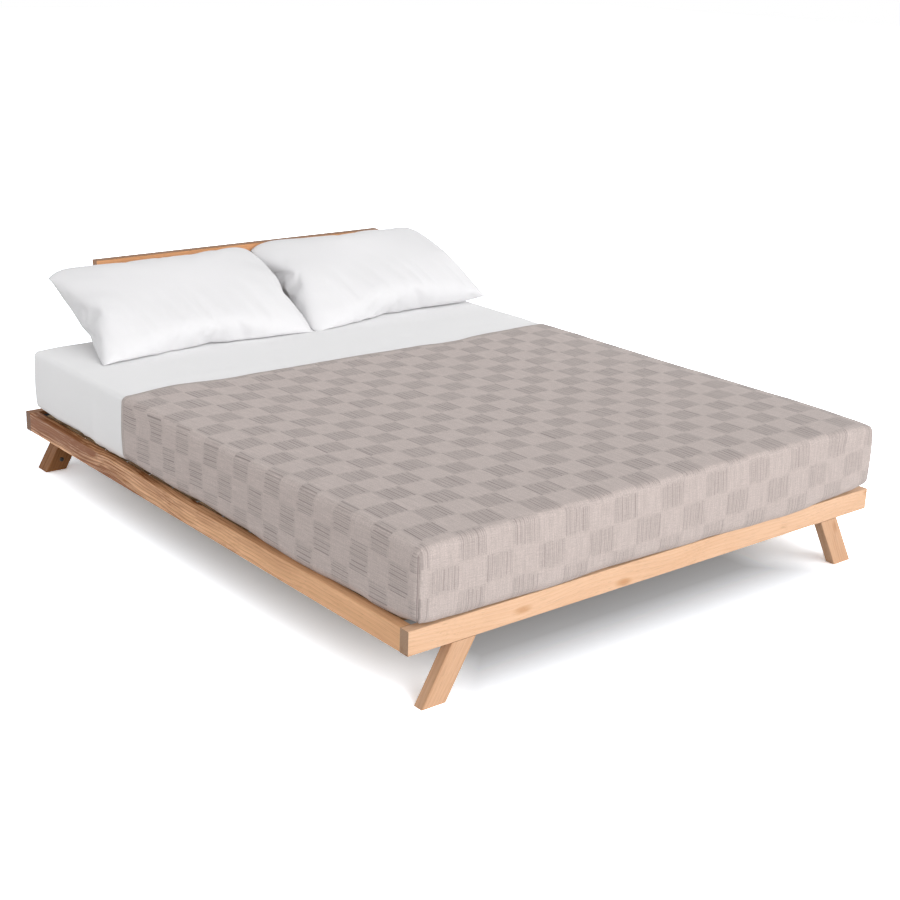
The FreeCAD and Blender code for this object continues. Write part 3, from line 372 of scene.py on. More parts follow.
def apply_modifier(piece, kind, **settings):
    """One modifier with its settings, applied at once."""
    take_up(piece)
    modifier = piece.modifiers.new("shape", kind)
    for name, value in settings.items():
        setattr(modifier, name, value)
    bpy.ops.object.modifier_apply(modifier=modifier.name)


def turned(name, section):
    """A body turned round Z from its half section of radius and height, from its foot to its top."""
    bpy.ops.object.select_all(action="DESELECT")
    bpy.ops.mesh.primitive_plane_add(size=0.001)
    piece = bpy.context.object
    piece.name = name
    bpy.ops.object.mode_set(mode="EDIT")
    bpy.ops.mesh.merge(type="CENTER")
    bpy.ops.transform.translate(value=(section[0][0], 0, section[0][1]))
    for (near, low), (far, high) in zip(section, section[1:]):
        bpy.ops.mesh.extrude_vertices_move(TRANSFORM_OT_translate={"value": (far - near, 0, high - low)})
    bpy.ops.mesh.select_all(action="SELECT")
    bpy.ops.mesh.spin(steps=turned_sides, angle=2 * math.pi, center=(0, 0, 0), axis=(0, 0, 1))
    bpy.ops.mesh.select_all(action="SELECT")
    bpy.ops.mesh.remove_doubles(threshold=merge_distance)
    bpy.ops.mesh.normals_make_consistent(inside=False)
    bpy.ops.object.mode_set(mode="OBJECT")
    return piece


def cut_away(piece, cutter):
    """Takes the cutter's shape out of the piece."""
    apply_modifier(piece, "BOOLEAN", operation="DIFFERENCE", object=cutter, solver="EXACT")
    bpy.data.objects.remove(cutter)


def wood_screw(name, length):
    """A screw with its head's seat at the origin: a ringed thread, a point and a cross recess."""
    section = [(0, -length), (0.7 * screw_shank, 2 * screw_shank - length)]
    turns = round((0.7 * length - 2 * screw_shank) / thread_pitch)
    for turn in range(turns):
        height = section[1][1] + turn * thread_pitch
        section += [(screw_shank, height + 0.5 * thread_pitch),
                    (screw_shank - thread_depth, height + 0.75 * thread_pitch),
                    (screw_shank - thread_depth, height + thread_pitch)]
    section += [(screw_shank - 0.0002, -0.0005), (screw_shank - 0.0002, 0), (screw_head, 0),
                (screw_head, 0.35 * screw_rise), (0.86 * screw_head, 0.78 * screw_rise),
                (0.55 * screw_head, screw_rise), (0, screw_rise)]
    piece = turned(name, section)
    for across, along in ((recess_width, recess_length), (recess_length, recess_width)):
        bpy.ops.object.select_all(action="DESELECT")
        bpy.ops.mesh.primitive_cube_add(size=1, location=(0, 0, screw_rise))
        cutter = bpy.context.object
        cutter.scale = (across, along, recess_height)
        bpy.context.view_layer.update()
        cut_away(piece, cutter)
    return piece


def seats(node):
    """Where each fastener of a CAD node sits: the middle of its head's seat, and the way its head looks."""
    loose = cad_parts[node].copy()
    loose.data = loose.data.copy()
    bpy.context.collection.objects.link(loose)
    take_up(loose)
    bpy.ops.object.mode_set(mode="EDIT")
    bpy.ops.mesh.select_all(action="SELECT")
    bpy.ops.mesh.remove_doubles(threshold=merge_distance)
    bpy.ops.mesh.separate(type="LOOSE")
    bpy.ops.object.mode_set(mode="OBJECT")
    found = []
    for part in list(bpy.context.selected_objects):
        points = [vertex.co.copy() for vertex in part.data.vertices]
        low = Vector([min(point[axis] for point in points) for axis in range(3)])
        high = Vector([max(point[axis] for point in points) for axis in range(3)])
        axis = max(range(3), key=lambda each: (high - low)[each])
        middle = (low + high) / 2
        aside = Vector([step != axis for step in range(3)])
        widest = max(points, key=lambda point: round(((point - middle) * aside).length, 5))
        way = Vector([0.0, 0.0, 0.0])
        way[axis] = 1.0 if widest[axis] > middle[axis] else -1.0
        found.append((tuple(round(number, 6) for number in middle), low, high, axis, way))
        bpy.data.objects.remove(part)
    return [(low, high, axis, way) for _, low, high, axis, way in sorted(found, key=lambda row: row[0])]


def fasten(node, pattern, material, rise):
    """Copies of a turned pattern in a CAD node's places; its head rises this far from its seat."""
    pattern.data.materials.append(material)
    take_up(pattern)
    bpy.ops.object.shade_smooth_by_angle(angle=smooth_angle)
    for number, (low, high, axis, way) in enumerate(seats(node), 1):
        seat = (low + high) / 2
        seat[axis] = (high[axis] if way[axis] > 0 else low[axis]) - rise * way[axis]
        turn = Vector((0, 0, 1)).rotation_difference(way).to_matrix().to_4x4()
        mesh = pattern.data.copy()
        mesh.transform(Matrix.Translation(seat) @ turn)
        piece = placed(f"{node.removesuffix('s')}_{number:02d}", mesh)
        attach(piece, "frame")
        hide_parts(node)
    bpy.data.objects.remove(pattern)


for node, length in (("leg_screws", 0.027), ("bracket_screws", 0.022), ("ledger_screws", 0.042),
                     ("shoe_screws", 0.022), ("centre_leg_screws", 0.040), ("slat_screws", 0.035),
                     ("panel_screws", 0.024)):
    fasten(node, wood_screw(node + "_pattern", length), screw_zinc, screw_rise)

flanged = [(bolt_head, 0), (bolt_head, 0.4 * bolt_rise), (0.93 * bolt_head, 0.75 * bolt_rise),
           (0.80 * bolt_head, 0.95 * bolt_rise), (0.70 * bolt_head, bolt_rise), (0, bolt_rise)]
bolt = [(0, -bolt_reach), (bolt_shank - 0.0006, -bolt_reach), (bolt_shank, 0.0006 - bolt_reach),
        (bolt_shank, 0)]
sleeve = [(bolt_shank, -sleeve_floor), (bolt_shank, -sleeve_reach), (sleeve_radius, -sleeve_reach),
          (sleeve_radius, 0)]
bore_end = [(0, -0.0060), (bolt_shank, -sleeve_floor)]
for node, section in (("headboard_bolts", bolt + flanged),
                      ("headboard_cap_nuts", sleeve + flanged + bore_end)):
    pattern = turned(node + "_pattern", section)
    bpy.ops.object.select_all(action="DESELECT")
    bpy.ops.mesh.primitive_cylinder_add(vertices=6, radius=socket_radius, depth=2 * socket_depth,
                                        location=(0, 0, bolt_rise))
    cut_away(pattern, bpy.context.object)
    fasten(node, pattern, black_steel, bolt_rise)

# Levelling feet: a black moulded sole with a ribbed edge on a steel stud, screwed into the end of
# each post under the beam so that it takes up an uneven floor.
sole_radius, sole_rise, collar_radius, foot_height = 0.0160, 0.0100, 0.0090, 0.0180
stud_radius, stud_rise, rib_depth = 0.0040, 0.0320, 0.0006
moulded_black = metal_finish("moulded_black", (0.032, 0.032, 0.033, 1), (0.055, 0.054, 0.053, 1),
                             0.55, 0.0, 900.0)
turned_sides = 32
foot = turned("foot_pattern", [
    (0, 0), (sole_radius - 0.0008, 0), (sole_radius, 0.0008), (sole_radius, 0.40 * sole_rise),
    (0.97 * sole_radius, 0.52 * sole_rise), (0.80 * sole_radius, 0.80 * sole_rise),
    (collar_radius, sole_rise), (collar_radius, foot_height - 0.0006), (collar_radius - 0.0006, foot_height),
    (stud_radius, foot_height), (stud_radius, foot_height + stud_rise - 0.0008),
    (stud_radius - 0.0008, foot_height + stud_rise), (0, foot_height + stud_rise)])
for vertex in foot.data.vertices:
    round_place = math.atan2(vertex.co.y, vertex.co.x) * turned_sides / (2 * math.pi)
    on_edge = vertex.co.xy.length > sole_radius * 0.95 and 0.0005 < vertex.co.z < 0.5 * sole_rise
    if on_edge and round(round_place) % 2:
        vertex.co.xy *= 1 - rib_depth / sole_radius
fasten("levelling_feet", foot, moulded_black, foot_height + stud_rise)

# Mattress: a foam block in a quilted knit cover, lying loose on the slats. Its edges have given
# way a little, its foot edge most, and its lower edges stand off the rails in shallow waves.
sheet_corner, sheet_edge, bottom_round = 0.015, 0.013, 0.029
arc_steps, corner_steps, side_steps = 6, 10, 12
side_give, end_give, give_reach, give_floor = 0.0105, 0.0085, 0.085, 0.29
crown_rise, belly_out, lump_rise = 0.0022, 0.004, 0.0016
quilt_width, quilt_dip, knit_sink = 0.17, 0.0016, 0.0005
mattress_low, mattress_high = (Vector(corner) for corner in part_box("mattress"))
rail_top = Vector(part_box("foot_rail")[1]).z
# How far its lower edges hang above or below their line, at places along the side and along the
# foot. They hang most at the lower of two heights, and close to the edge.
side_hang = [(0.0, 0.014), (0.08, 0.002), (0.16, 0.0), (0.21, 0.005), (0.31, 0.001), (0.40, -0.002),
             (0.66, -0.002), (0.74, 0.002), (0.83, 0.001), (0.98, 0.006), (1.10, 0.003), (1.23, 0.009),
             (1.31, 0.008), (1.38, 0.008), (1.45, 0.001), (1.52, -0.001), (1.72, 0.008), (1.88, 0.006),
             (2.03, 0.012)]
foot_hang = [(-0.84, 0.012), (-0.775, 0.006), (-0.679, 0.004), (-0.195, 0.004), (0.128, 0.001),
             (0.343, -0.006), (0.45, -0.007), (0.558, -0.004), (0.665, 0.002), (0.773, 0.008),
             (0.837, 0.014)]
hang_upper, hang_lower, rim_start, rim_reach = 0.30, 0.225, 0.014, 0.026
quarter = math.pi / 2


def cover_profile(grow, tuck, plan_corner, top_round):
    """(inset, height, cloth below the flat top) from the tucked edge up to the corners' middle."""
    low_middle, high_middle = mattress_low.z + bottom_round, mattress_high.z - top_round
    low, high = bottom_round + grow, top_round + grow
    bends = [tuck * (1 - step / (2 * arc_steps)) for step in range(2 * arc_steps)]
    points = [(low * (1 - math.cos(bend)), low_middle - low * math.sin(bend)) for bend in bends]
    points += [(0.0, low_middle + (high_middle - low_middle) * step / side_steps)
               for step in range(side_steps)]
    points += [(high * (1 - math.cos(quarter * step / arc_steps)),
                high_middle + high * math.sin(quarter * step / arc_steps)) for step in range(arc_steps + 1)]
    down = [0.0]
    for first, second in zip(points[::-1], points[-2::-1]):
        down.append(down[-1] + math.dist(first, second))
    profile = [(*point, cloth) for point, cloth in zip(points, down[::-1])]
    return profile + [(plan_corner + grow, mattress_high.z + grow, top_round - plan_corner)]


def cover_mesh(name, grow, tuck, pitch, plan_corner, top_round, hem=None):
    """A rounded cover on the mattress. Its UV is the place on the flat cloth, in metres."""
    profile = cover_profile(grow, tuck, plan_corner, top_round)
    underside = tuck == quarter
    if underside:
        profile.insert(0, (plan_corner + grow, profile[0][1], profile[0][2] + plan_corner - bottom_round))
    closed = hem is None
    left, right = mattress_low.x + plan_corner, mattress_high.x - plan_corner
    near, far = mattress_low.y + plan_corner, mattress_high.y - plan_corner if closed else hem
    across, along = round((right - left) / pitch), round((far - near) / pitch)
    xs = [left + (right - left) * step / across for step in range(across + 1)]
    ys = [near + (far - near) * step / along for step in range(along + 1)]
    turns = [quarter * step / corner_steps for step in range(1, corner_steps)]
    ring = [(xs[0], y, 0.0) for y in ys[::-1]] + [(xs[0], ys[0], turn) for turn in turns]
    ring += [(x, ys[0], quarter) for x in xs] + [(xs[-1], ys[0], quarter + turn) for turn in turns]
    ring += [(xs[-1], y, 2 * quarter) for y in ys]
    if closed:
        ring += [(xs[-1], ys[-1], 2 * quarter + turn) for turn in turns]
        ring += [(x, ys[-1], 3 * quarter) for x in xs[::-1]]
        ring += [(xs[0], ys[-1], 3 * quarter + turn) for turn in turns]
    verts = [(x - math.cos(turn) * (plan_corner + grow - inset),
              y - math.sin(turn) * (plan_corner + grow - inset), z)
             for inset, z, _ in profile[underside:-1] for x, y, turn in ring]
    rows = [list(range(start, start + len(ring))) for start in range(0, len(verts), len(ring))]
    plates = []
    for level in [-1, 0] if underside else [-1]:
        spots = [(x, y) for y in ys for x in xs]
        plates.append({spot: len(verts) + step for step, spot in enumerate(spots)})
        verts += [(*spot, profile[level][1]) for spot in spots]
    rows.append([plates[0][x, y] for x, y, _ in ring])
    if underside:
        rows.insert(0, [plates[1][x, y] for x, y, _ in ring])
    faces, places = [], []
    for level in range(len(rows) - 1):
        for step in range(len(ring) if closed else len(ring) - 1):
            later = (step + 1) % len(ring)
            stop = ring[later][2] + (4 * quarter if later < step else 0)
            panel = quarter * math.floor((ring[step][2] + stop) / 2 / quarter + 0.5)
            corners = [(rows[level][step], ring[step], ring[step][2], level),
                       (rows[level][later], ring[later], stop, level),
                       (rows[level + 1][later], ring[later], stop, level + 1),
                       (rows[level + 1][step], ring[step], ring[step][2], level + 1)]
            kept = [corner for place, corner in enumerate(corners)
                    if corner[0] not in [other[0] for other in corners[:place]]]
            if len(kept) < 3:
                continue
            faces.append([corner[0] for corner in kept])
            for _, (x, y, _), turn, at in kept:
                inset, _, cloth = profile[at]
                out = cloth + plan_corner - top_round
                bend = (plan_corner + grow - inset) * (turn - panel)
                places.append((x - math.cos(panel) * out + math.sin(panel) * bend,
                               y - math.sin(panel) * out - math.cos(panel) * bend))
    for step, plate in enumerate(plates):
        for low_y, high_y in zip(ys, ys[1:]):
            for low_x, high_x in zip(xs, xs[1:]):
                spots = [(low_x, low_y), (high_x, low_y), (high_x, high_y), (low_x, high_y)]
                spots = spots[::-1 if step else 1]
                faces.append([plate[spot] for spot in spots])
                places.extend(spots)
    mesh = bpy.data.meshes.new(name)
    mesh.from_pydata(verts, [], faces)
    layer = mesh.uv_layers.new(name="cloth")
    layer.data.foreach_set("uv", [number for place in places for number in place])
    return placed(name, mesh)


def held(share):
    """A share kept between 0 and 1."""
    return min(1.0, max(0.0, share))


def eased(share):
    """A share between 0 and 1 with a soft start and stop."""
    share = held(share)
    return share * share * (3 - 2 * share)


def slump(place, normal):
    """How far the filled mattress stands out of its plain form; the cloth over it follows."""
    across = place.x / mattress_high.x
    crown = crown_rise * (1 - across ** 2) * max(0.0, normal.z)
    belly_height = (place.z - mattress_low.z) / (mattress_high.z - mattress_low.z)
    belly = belly_out * math.sin(math.pi * held(belly_height)) * (1 - abs(normal.z))
    return crown + belly + lump_rise * noise.noise(Vector((place.x * 2.6, place.y * 2.6, place.z * 5)))


def settle(across, along, height):
    """How far the mattress's upper edges have given way at a place."""
    side = max(0.0, mattress_high.x - abs(across))
    end = max(0.0, along - mattress_low.y)
    use = 0.5 + 0.5 * held((mattress_high.y - along) / 1.2)
    drop = use * side_give * math.exp(-side / give_reach) + end_give * math.exp(-end / give_reach)
    return drop * eased((height - give_floor) / (mattress_high.z - give_floor))


def swell(piece, extra):
    """Moves each point along its normal by the mattress's own waves and the cloth's ripples."""
    mesh = piece.data
    moved = []
    for vertex in mesh.vertices:
        place, normal = vertex.co.copy(), vertex.normal.copy()
        rise = slump(place, normal) + extra(place, normal)
        place.z -= settle(*place)
        moved.append(place + normal * rise)
    for vertex, place in zip(mesh.vertices, moved):
        vertex.co = place
    mesh.update()


def level_at(table, place):
    """The height that a table of places gives, eased from one to the next."""
    for (start, low), (stop, high) in zip(table, table[1:]):
        if start <= place <= stop:
            return low + (high - low) * eased((place - start) / (stop - start))
    return table[0][1] if place < table[0][0] else table[-1][1]


def hang(piece):
    """Lifts or drops a cover's lower edges as the tables say, but not into the rails."""
    for vertex in piece.data.vertices:
        side, foot = mattress_high.x - abs(vertex.co.x), vertex.co.y - mattress_low.y
        inward = min(side, foot, mattress_high.y - vertex.co.y)
        share = held((hang_upper - vertex.co.z) / (hang_upper - hang_lower)) ** 2
        share *= eased(1 - (inward - rim_start) / rim_reach)
        level = level_at(side_hang, foot - 0.008) if side < foot else level_at(foot_hang, vertex.co.x)
        vertex.co.z = max(vertex.co.z + share * level, rail_top + 0.001)


def quilting(place, normal):
    """Shallow dips along the sewn diamonds of the top and the underside."""
    if abs(normal.z) < 0.9:
        return -knit_sink
    first = abs(math.sin((place.x + place.y) * math.pi / quilt_width))
    second = abs(math.sin((place.x - place.y) * math.pi / quilt_width))
    return -knit_sink - quilt_dip * (1 - min(1.0, 2.2 * min(first, second)))


# Plain weave: one group draws a cloth's two sets of yarns, each yarn a little lighter or darker
# than the next, from the cloth's own flat place.
plain_weave, given = shader_group(
    "plain_weave", {"Cloth": "NodeSocketVector", "Yarns": "NodeSocketFloat"},
    {"Shade": "NodeSocketFloat", "Height": "NodeSocketFloat"})
yarns = scaled(given["Cloth"], given["Yarns"])
uneven = plus(*(mottle(stretched(yarns, by), 1.0, 1.0) for by in ((1.0, 0.03, 1.0), (0.03, 1.0, 1.0))))
crossing = times(*(reckon("SINE", times(axis, math.pi)) for axis in axes_of(yarns)[:2]))
add_node(plain_weave, "NodeGroupOutput", {"Shade": between(uneven, 0.7, 1.3, -1.0, 1.0),
                                          "Height": plus(times(crossing, 0.5), uneven)})
yarn_bump = 0.4
cloth_look = {"Roughness": 0.85, "Sheen Roughness": 0.5, "Specular IOR Level": 0.2}


def cloth_material(name, colour, yarns_per_metre, contrast, bump_depth, place="UV", sheen=0.25):
    """A woven cloth; returns its material, its tree, its shader and the socket of its colour."""
    material, tree, shader = new_material(name)
    cloth = add_node(tree, "ShaderNodeTexCoord").outputs[place]
    weave = add_node(tree, "ShaderNodeGroup", {"Cloth": cloth, "Yarns": yarns_per_metre},
                     node_tree=plain_weave).outputs
    shade = worked("ShaderNodeMath", {0: weave["Shade"], 1: contrast, 2: 1.0},
                   operation="MULTIPLY_ADD")[0]
    dyed = scaled(colour[:3], shade)
    feed(shader, {"Base Color": dyed, "Normal": bumped(weave["Height"], yarn_bump, bump_depth),
                  "Sheen Weight": sheen, **cloth_look})
    return material, tree, shader, dyed


foam = cover_mesh("quilted_mattress", 0.0, quarter, 0.017, sheet_corner, sheet_edge)
swell(foam, quilting)
hang(foam)
knit_colour = (0.80, 0.795, 0.775, 1)
foam.data.materials.append(cloth_material("mattress_knit", knit_colour, 700, 0.05, 0.0004)[0])
foam.data.shade_smooth()
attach(foam, "made_mattress")
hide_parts("mattress")

# Slat tapes: two woven cotton webbings laid on the slats and stapled to them, which keep the
# slats at their spacing. They are drawn tight.
tape_cotton = cloth_material("tape_cotton", (0.70, 0.68, 0.60, 1), 620, 0.10, 0.0003)[0]
for side in ("left", "right"):
    node = "slat_tape_" + side
    low, high = (Vector(corner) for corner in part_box(node))
    columns, rows = 8, 378
    verts = [(low.x + (high.x - low.x) * i / columns, low.y + (high.y - low.y) * j / rows,
              (low.z + high.z) / 2) for j in range(rows + 1) for i in range(columns + 1)]
    faces = [(start, start + 1, start + columns + 2, start + columns + 1)
             for row in range(rows) for start in range(row * (columns + 1), row * (columns + 1) + columns)]
    mesh = bpy.data.meshes.new("woven_" + node)
    mesh.from_pydata(verts, [], faces)
    layer = mesh.uv_layers.new(name="cloth")
    for corner, vertex in zip(layer.data, (mesh.vertices[loop.vertex_index] for loop in mesh.loops)):
        corner.uv = vertex.co.xy
    tape = placed("woven_" + node, mesh)
    apply_modifier(tape, "SOLIDIFY", thickness=0.0009, offset=0.0)
    tape.data.shade_flat()
    tape.data.materials.append(tape_cotton)
    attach(tape, "frame")
    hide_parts(node)

# Fitted sheet: white cotton drawn over the mattress, with sewn corners and an elastic hem.
sheet_middle, sheet_thickness, sheet_end = 0.0008, 0.0009, 0.2212
hem_line = 0.3565
# How far each kind of ripple lifts the sheet: on top, then over the sides.
soft_lift, pucker_lift = 0.0016, 0.0013
side_lift, brim_lift, gather_lift = 0.0005, 0.0012, 0.0078


def sheet_ripples(place, normal):
    """Soft upright ripples on the sides, gathered by the elastic; none under the blanket."""
    free = held((place.y - hem_line + 0.06) / 0.05)
    if abs(normal.z) > 0.8 and place.z > 0.4:
        fold = 1 - abs(noise.noise(Vector((place.x * 2.2 + place.y, place.y * 9, 4.2)))) * 5
        soft = max(0.0, noise.noise(Vector((place.x * 5, place.y * 11, 4.2))))
        return free * (soft_lift * soft + pucker_lift * max(0.0, fold))
    free = held((place.y - hem_line - 0.014) / 0.06)
    round_place = Vector((place.x * 17, place.y * 17, place.z * 2.5 + 7))
    low = held((0.44 - place.z) / 0.17)
    rim = brim_lift * max(0.0, 1 - abs(place.z - 0.409) / 0.010)
    return free * (side_lift + rim + gather_lift * low * max(0.0, noise.noise(round_place) + 0.1))


sheet_tuck = math.asin((mattress_low.z + bottom_round - sheet_end) / (bottom_round + sheet_middle))
fitted = cover_mesh("fitted_sheet_cloth", sheet_middle, sheet_tuck, 0.016, sheet_corner, sheet_edge)
swell(fitted, sheet_ripples)
hang(fitted)
apply_modifier(fitted, "SOLIDIFY", thickness=sheet_thickness, offset=0.0)
fitted.data.shade_smooth()
white_cotton = (0.80, 0.797, 0.803, 1)
fitted.data.materials.append(cloth_material("fitted_cotton", white_cotton, 1600, 0.012, 0.0002)[0])
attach(fitted, "made_mattress")
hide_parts("fitted_sheet")

# Blanket: a grey woven cotton cover with a checker of striped squares, sewn to box corners at the
# foot and tucked in on three sides. Its hem crosses the bed.
blanket_middle, blanket_thickness, blanket_end = 0.00285, 0.0022, 0.2188
blanket_corner, blanket_edge = 0.0125, 0.0120
# The hem's distance from the foot rail's face, at places across the flat cloth.
hem_places = [(-1.1, 1.411), (-0.86, 1.410), (-0.80, 1.400), (-0.672, 1.407), (-0.488, 1.381),
              (-0.175, 1.376), (0.208, 1.374), (0.36, 1.359), (0.562, 1.381), (0.834, 1.401),
              (1.1, 1.405)]
rail_face = mattress_low.y + 0.008
seam_dip, hem_border = 0.0018, 0.0135
# Where the blanket slipped most, how far round that, and by how much: across it, then along it.
aside_middle, aside_reach, aside_slip = 0.155, 0.83, 0.086
down_middle, down_reach, down_slip = 0.05, 0.68, 0.062
foot_corner_slip = 0.012
# How far each kind of ripple lifts the blanket.
least_lift, roll_lift, crumple_lift, slack_lift = 0.0003, 0.0014, 0.0010, 0.0042


def smoothed(across, along):
    """How far the blanket was smoothed out of its lines at a place, most in its middle."""
    aside = math.exp(-(abs(across - aside_middle) / aside_reach) ** 3.6)
    aside *= 0.09 + 0.91 / (1 + math.exp((0.52 - along) / 0.27))
    down = math.exp(-((across - down_middle) / down_reach) ** 4)
    down *= 0.66 + 0.34 / (1 + math.exp((0.61 - along) / 0.10))
    on_side = held((abs(across) - 0.80) / 0.04)
    on_foot = held(-along / 0.05) * (1 - on_side)
    corner = held((abs(across) - 0.55) / 0.15)
    near_hem = held((along - 1.13) / 0.13)
    far_side = held((along - 1.05) / 0.15)
    aside = 0.004 + 0.010 * along - aside_slip * aside
    aside -= on_side * (0.005 + 0.009 * math.exp(-((along - 0.86) / 0.20) ** 2))
    aside -= on_foot * foot_corner_slip * corner * (across > 0)
    down = 0.011 + 0.002 * along - down_slip * down + (1 - on_side) * 0.010 * near_hem
    down -= on_side * (0.007 + 0.012 * far_side) + on_foot * foot_corner_slip * corner
    return aside, down


def blanket_ripples(place, normal):
    """Slack along the tucked edge and the corners, and a faint roll along the hem."""
    low = held((0.43 - place.z) / 0.2)
    slack = max(0.0, 0.4 + noise.noise(Vector((place.x * 6, place.y * 6, place.z * 2 + 3))))
    flat = roll_lift * noise.noise(Vector((place.x * 4, place.y * 4, 9)))
    flat += crumple_lift * noise.noise(Vector((place.x * 14, place.y * 14, place.z * 14)))
    return max(-least_lift, least_lift + flat) + slack_lift * low * low * slack


tuck_angle = math.asin((mattress_low.z + bottom_round - blanket_end) / (bottom_round + blanket_middle))
blanket = cover_mesh("checked_blanket", blanket_middle, tuck_angle, 0.014, blanket_corner, blanket_edge,
                     hem=hem_line)
for vertex in blanket.data.vertices:
    offset = Vector((mattress_high.x - abs(vertex.co.x), vertex.co.y - mattress_low.y))
    if vertex.co.z < mattress_high.z - 0.004 and max(offset) < blanket_corner:
        turn = abs(math.atan2(blanket_corner - offset.y, blanket_corner - offset.x) - quarter / 2) / quarter
        dip = seam_dip * max(0.0, 1 - turn / 0.13) - seam_dip * 0.5 * max(0.0, 1 - abs(turn - 0.28) / 0.13)
        vertex.co.x -= math.copysign(dip, vertex.co.x)
        vertex.co.y += dip
swell(blanket, blanket_ripples)
hang(blanket)
from_hem = blanket.data.attributes.new("from_hem", "FLOAT", "POINT")
from_hem.data.foreach_set("value", [hem_line - vertex.co.y for vertex in blanket.data.vertices])
for vertex in blanket.data.vertices:
    near_hem = held((vertex.co.y - hem_line + 0.35) / 0.35)
    hem_across = vertex.co.x + math.copysign(max(0.0, 0.42 - vertex.co.z), vertex.co.x)
    vertex.co.y += (level_at(hem_places, hem_across) + rail_face - hem_line) * near_hem * near_hem
cloth_layer = blanket.data.uv_layers["cloth"]
for corner in cloth_layer.data:
    pulled = held((corner.uv.y - rail_face - 0.85) / 0.5)
    left_side = held((-corner.uv.x - 0.35) / 0.5)
    corner.uv.x += 0.045 * pulled * left_side
    aside, down = smoothed(corner.uv.x, corner.uv.y - rail_face)
    corner.uv.x -= aside
    corner.uv.y -= down
apply_modifier(blanket, "SOLIDIFY", thickness=blanket_thickness, offset=0.0)
blanket.data.shade_smooth()

# Its check: cells 85 mm across and 76.5 mm along, every other one crossed by a dozen uneven dark
# yarns with ragged ends.
cell_across, cell_along, stripe_pitch, bunch_pitch = 0.085, 0.0765, 0.0065, 0.0150
first_across, first_along = -0.042, -0.059 + rail_face
stripe_half, stripe_reach = 0.14, 0.37


def apart(first, second):
    """How far two values are from each other."""
    return reckon("ABSOLUTE", minus(first, second))


check, given = shader_group("striped_check", {"Cloth": "NodeSocketVector"},
                            {"Stripe": "NodeSocketFloat", "Cell": "NodeSocketFloat"})
axes = axes_of(given["Cloth"])
column = reckon("DIVIDE", minus(axes[0], first_across), cell_across)
row = reckon("DIVIDE", minus(axes[1], first_along), cell_along)
row_number = reckon("FLOOR", row)
odd = reckon("FRACT", times(plus(reckon("FLOOR", column), row_number), 0.5))
cell = minus(1.0, times(odd, 2.0))
sway = mottle(stretched(given["Cloth"], (70.0, 4.0, 1.0)), 1.0, 1.0)
line = plus(reckon("DIVIDE", axes[0], stripe_pitch), times(sway, 1.3))
seed = worked("ShaderNodeCombineXYZ", {0: reckon("FLOOR", line), 1: row_number})[0]
chances = axes_of(worked("ShaderNodeTexWhiteNoise", {"Vector": seed}, noise_dimensions="2D")["Color"])
width = plus(stripe_half, times(chances[2], 0.09))
thread = between(minus(apart(reckon("FRACT", line), 0.5), width), 0.0, 0.12, 1.0, 0.0)
bunch = reckon("SINE", times(2 * math.pi, plus(reckon("DIVIDE", axes[0], bunch_pitch), times(sway, 0.9))))
weight = times(between(chances[0], 0.0, 1.0, 0.60, 0.95), between(bunch, -0.5, 0.4, 0.30, 1.0))
reach = plus(stripe_reach, times(chances[1], 0.11))
ends = between(minus(apart(reckon("FRACT", row), 0.5), reach), -0.012, 0.012, 1.0, 0.0)
add_node(check, "NodeGroupOutput", {"Stripe": times(times(cell, thread), times(weight, ends)),
                                    "Cell": cell})

# Its cloth: heather grey, a shade deeper inside the cells and more so on the top, with a stitched line
# along the hem, a painted shade line in the fold at each foot corner, and its stripes fainter on the
# sides than on the top and painted fainter still on the foot face as painted light.
blanket_low = Vector(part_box("blanket")[0])
# Where the painted shade line in the foot corners' folds lies, how thick it is, and the heights where it
# fades out.
painted_fold_shade_place, painted_fold_shade_line, painted_fold_shade_heights = 0.004, (0.0014, 0.0032), (0.398, 0.406)
edge_heights, painted_light_foot_places = (0.415, 0.428), (-1.045, -1.020)
blanket_colour, stripe_colour = (0.490, 0.420, 0.394, 1), (0.245, 0.205, 0.196, 1)
material, tree, shader, ground = cloth_material("checked_weave", blanket_colour, 900, 0.10, 0.0006,
                                                sheen=0.15)
cloth = add_node(tree, "ShaderNodeTexCoord").outputs
checked = add_node(tree, "ShaderNodeGroup", {"Cloth": cloth["UV"]}, node_tree=check).outputs
off_hem = add_node(tree, "ShaderNodeAttribute", attribute_name="from_hem").outputs["Fac"]
inside = between(off_hem, hem_border - 0.001, hem_border + 0.001)
stitch = between(apart(off_hem, hem_border), 0.0006, 0.0018, 0.5, 0.0)
lie = axes_of(cloth["Object"])
depth = between(lie[2], *edge_heights, 0.05, 0.10)
# The stripes are fainter below the top edge, and painted fainter still on the foot face as painted light
# where the lamp falls full on it.
contrast = times(between(lie[2], *edge_heights, 0.88, 1.15), between(lie[1], *painted_light_foot_places, 0.64, 1.0))
toned = scaled(ground, minus(1.0, times(times(checked["Cell"], inside), depth)))
streak = mottle(stretched(cloth["UV"], (260.0, 9.0, 1.0)), 1.0, 3.0, 0.7)
fleck = mottle(cloth["UV"], 330.0, 2.0)
heather = scaled(toned, times(between(streak, 0.3, 0.7, 0.92, 1.08),
                              between(fleck, 0.25, 0.75, 0.88, 1.12)))
stripes = times(times(checked["Stripe"], inside), contrast)
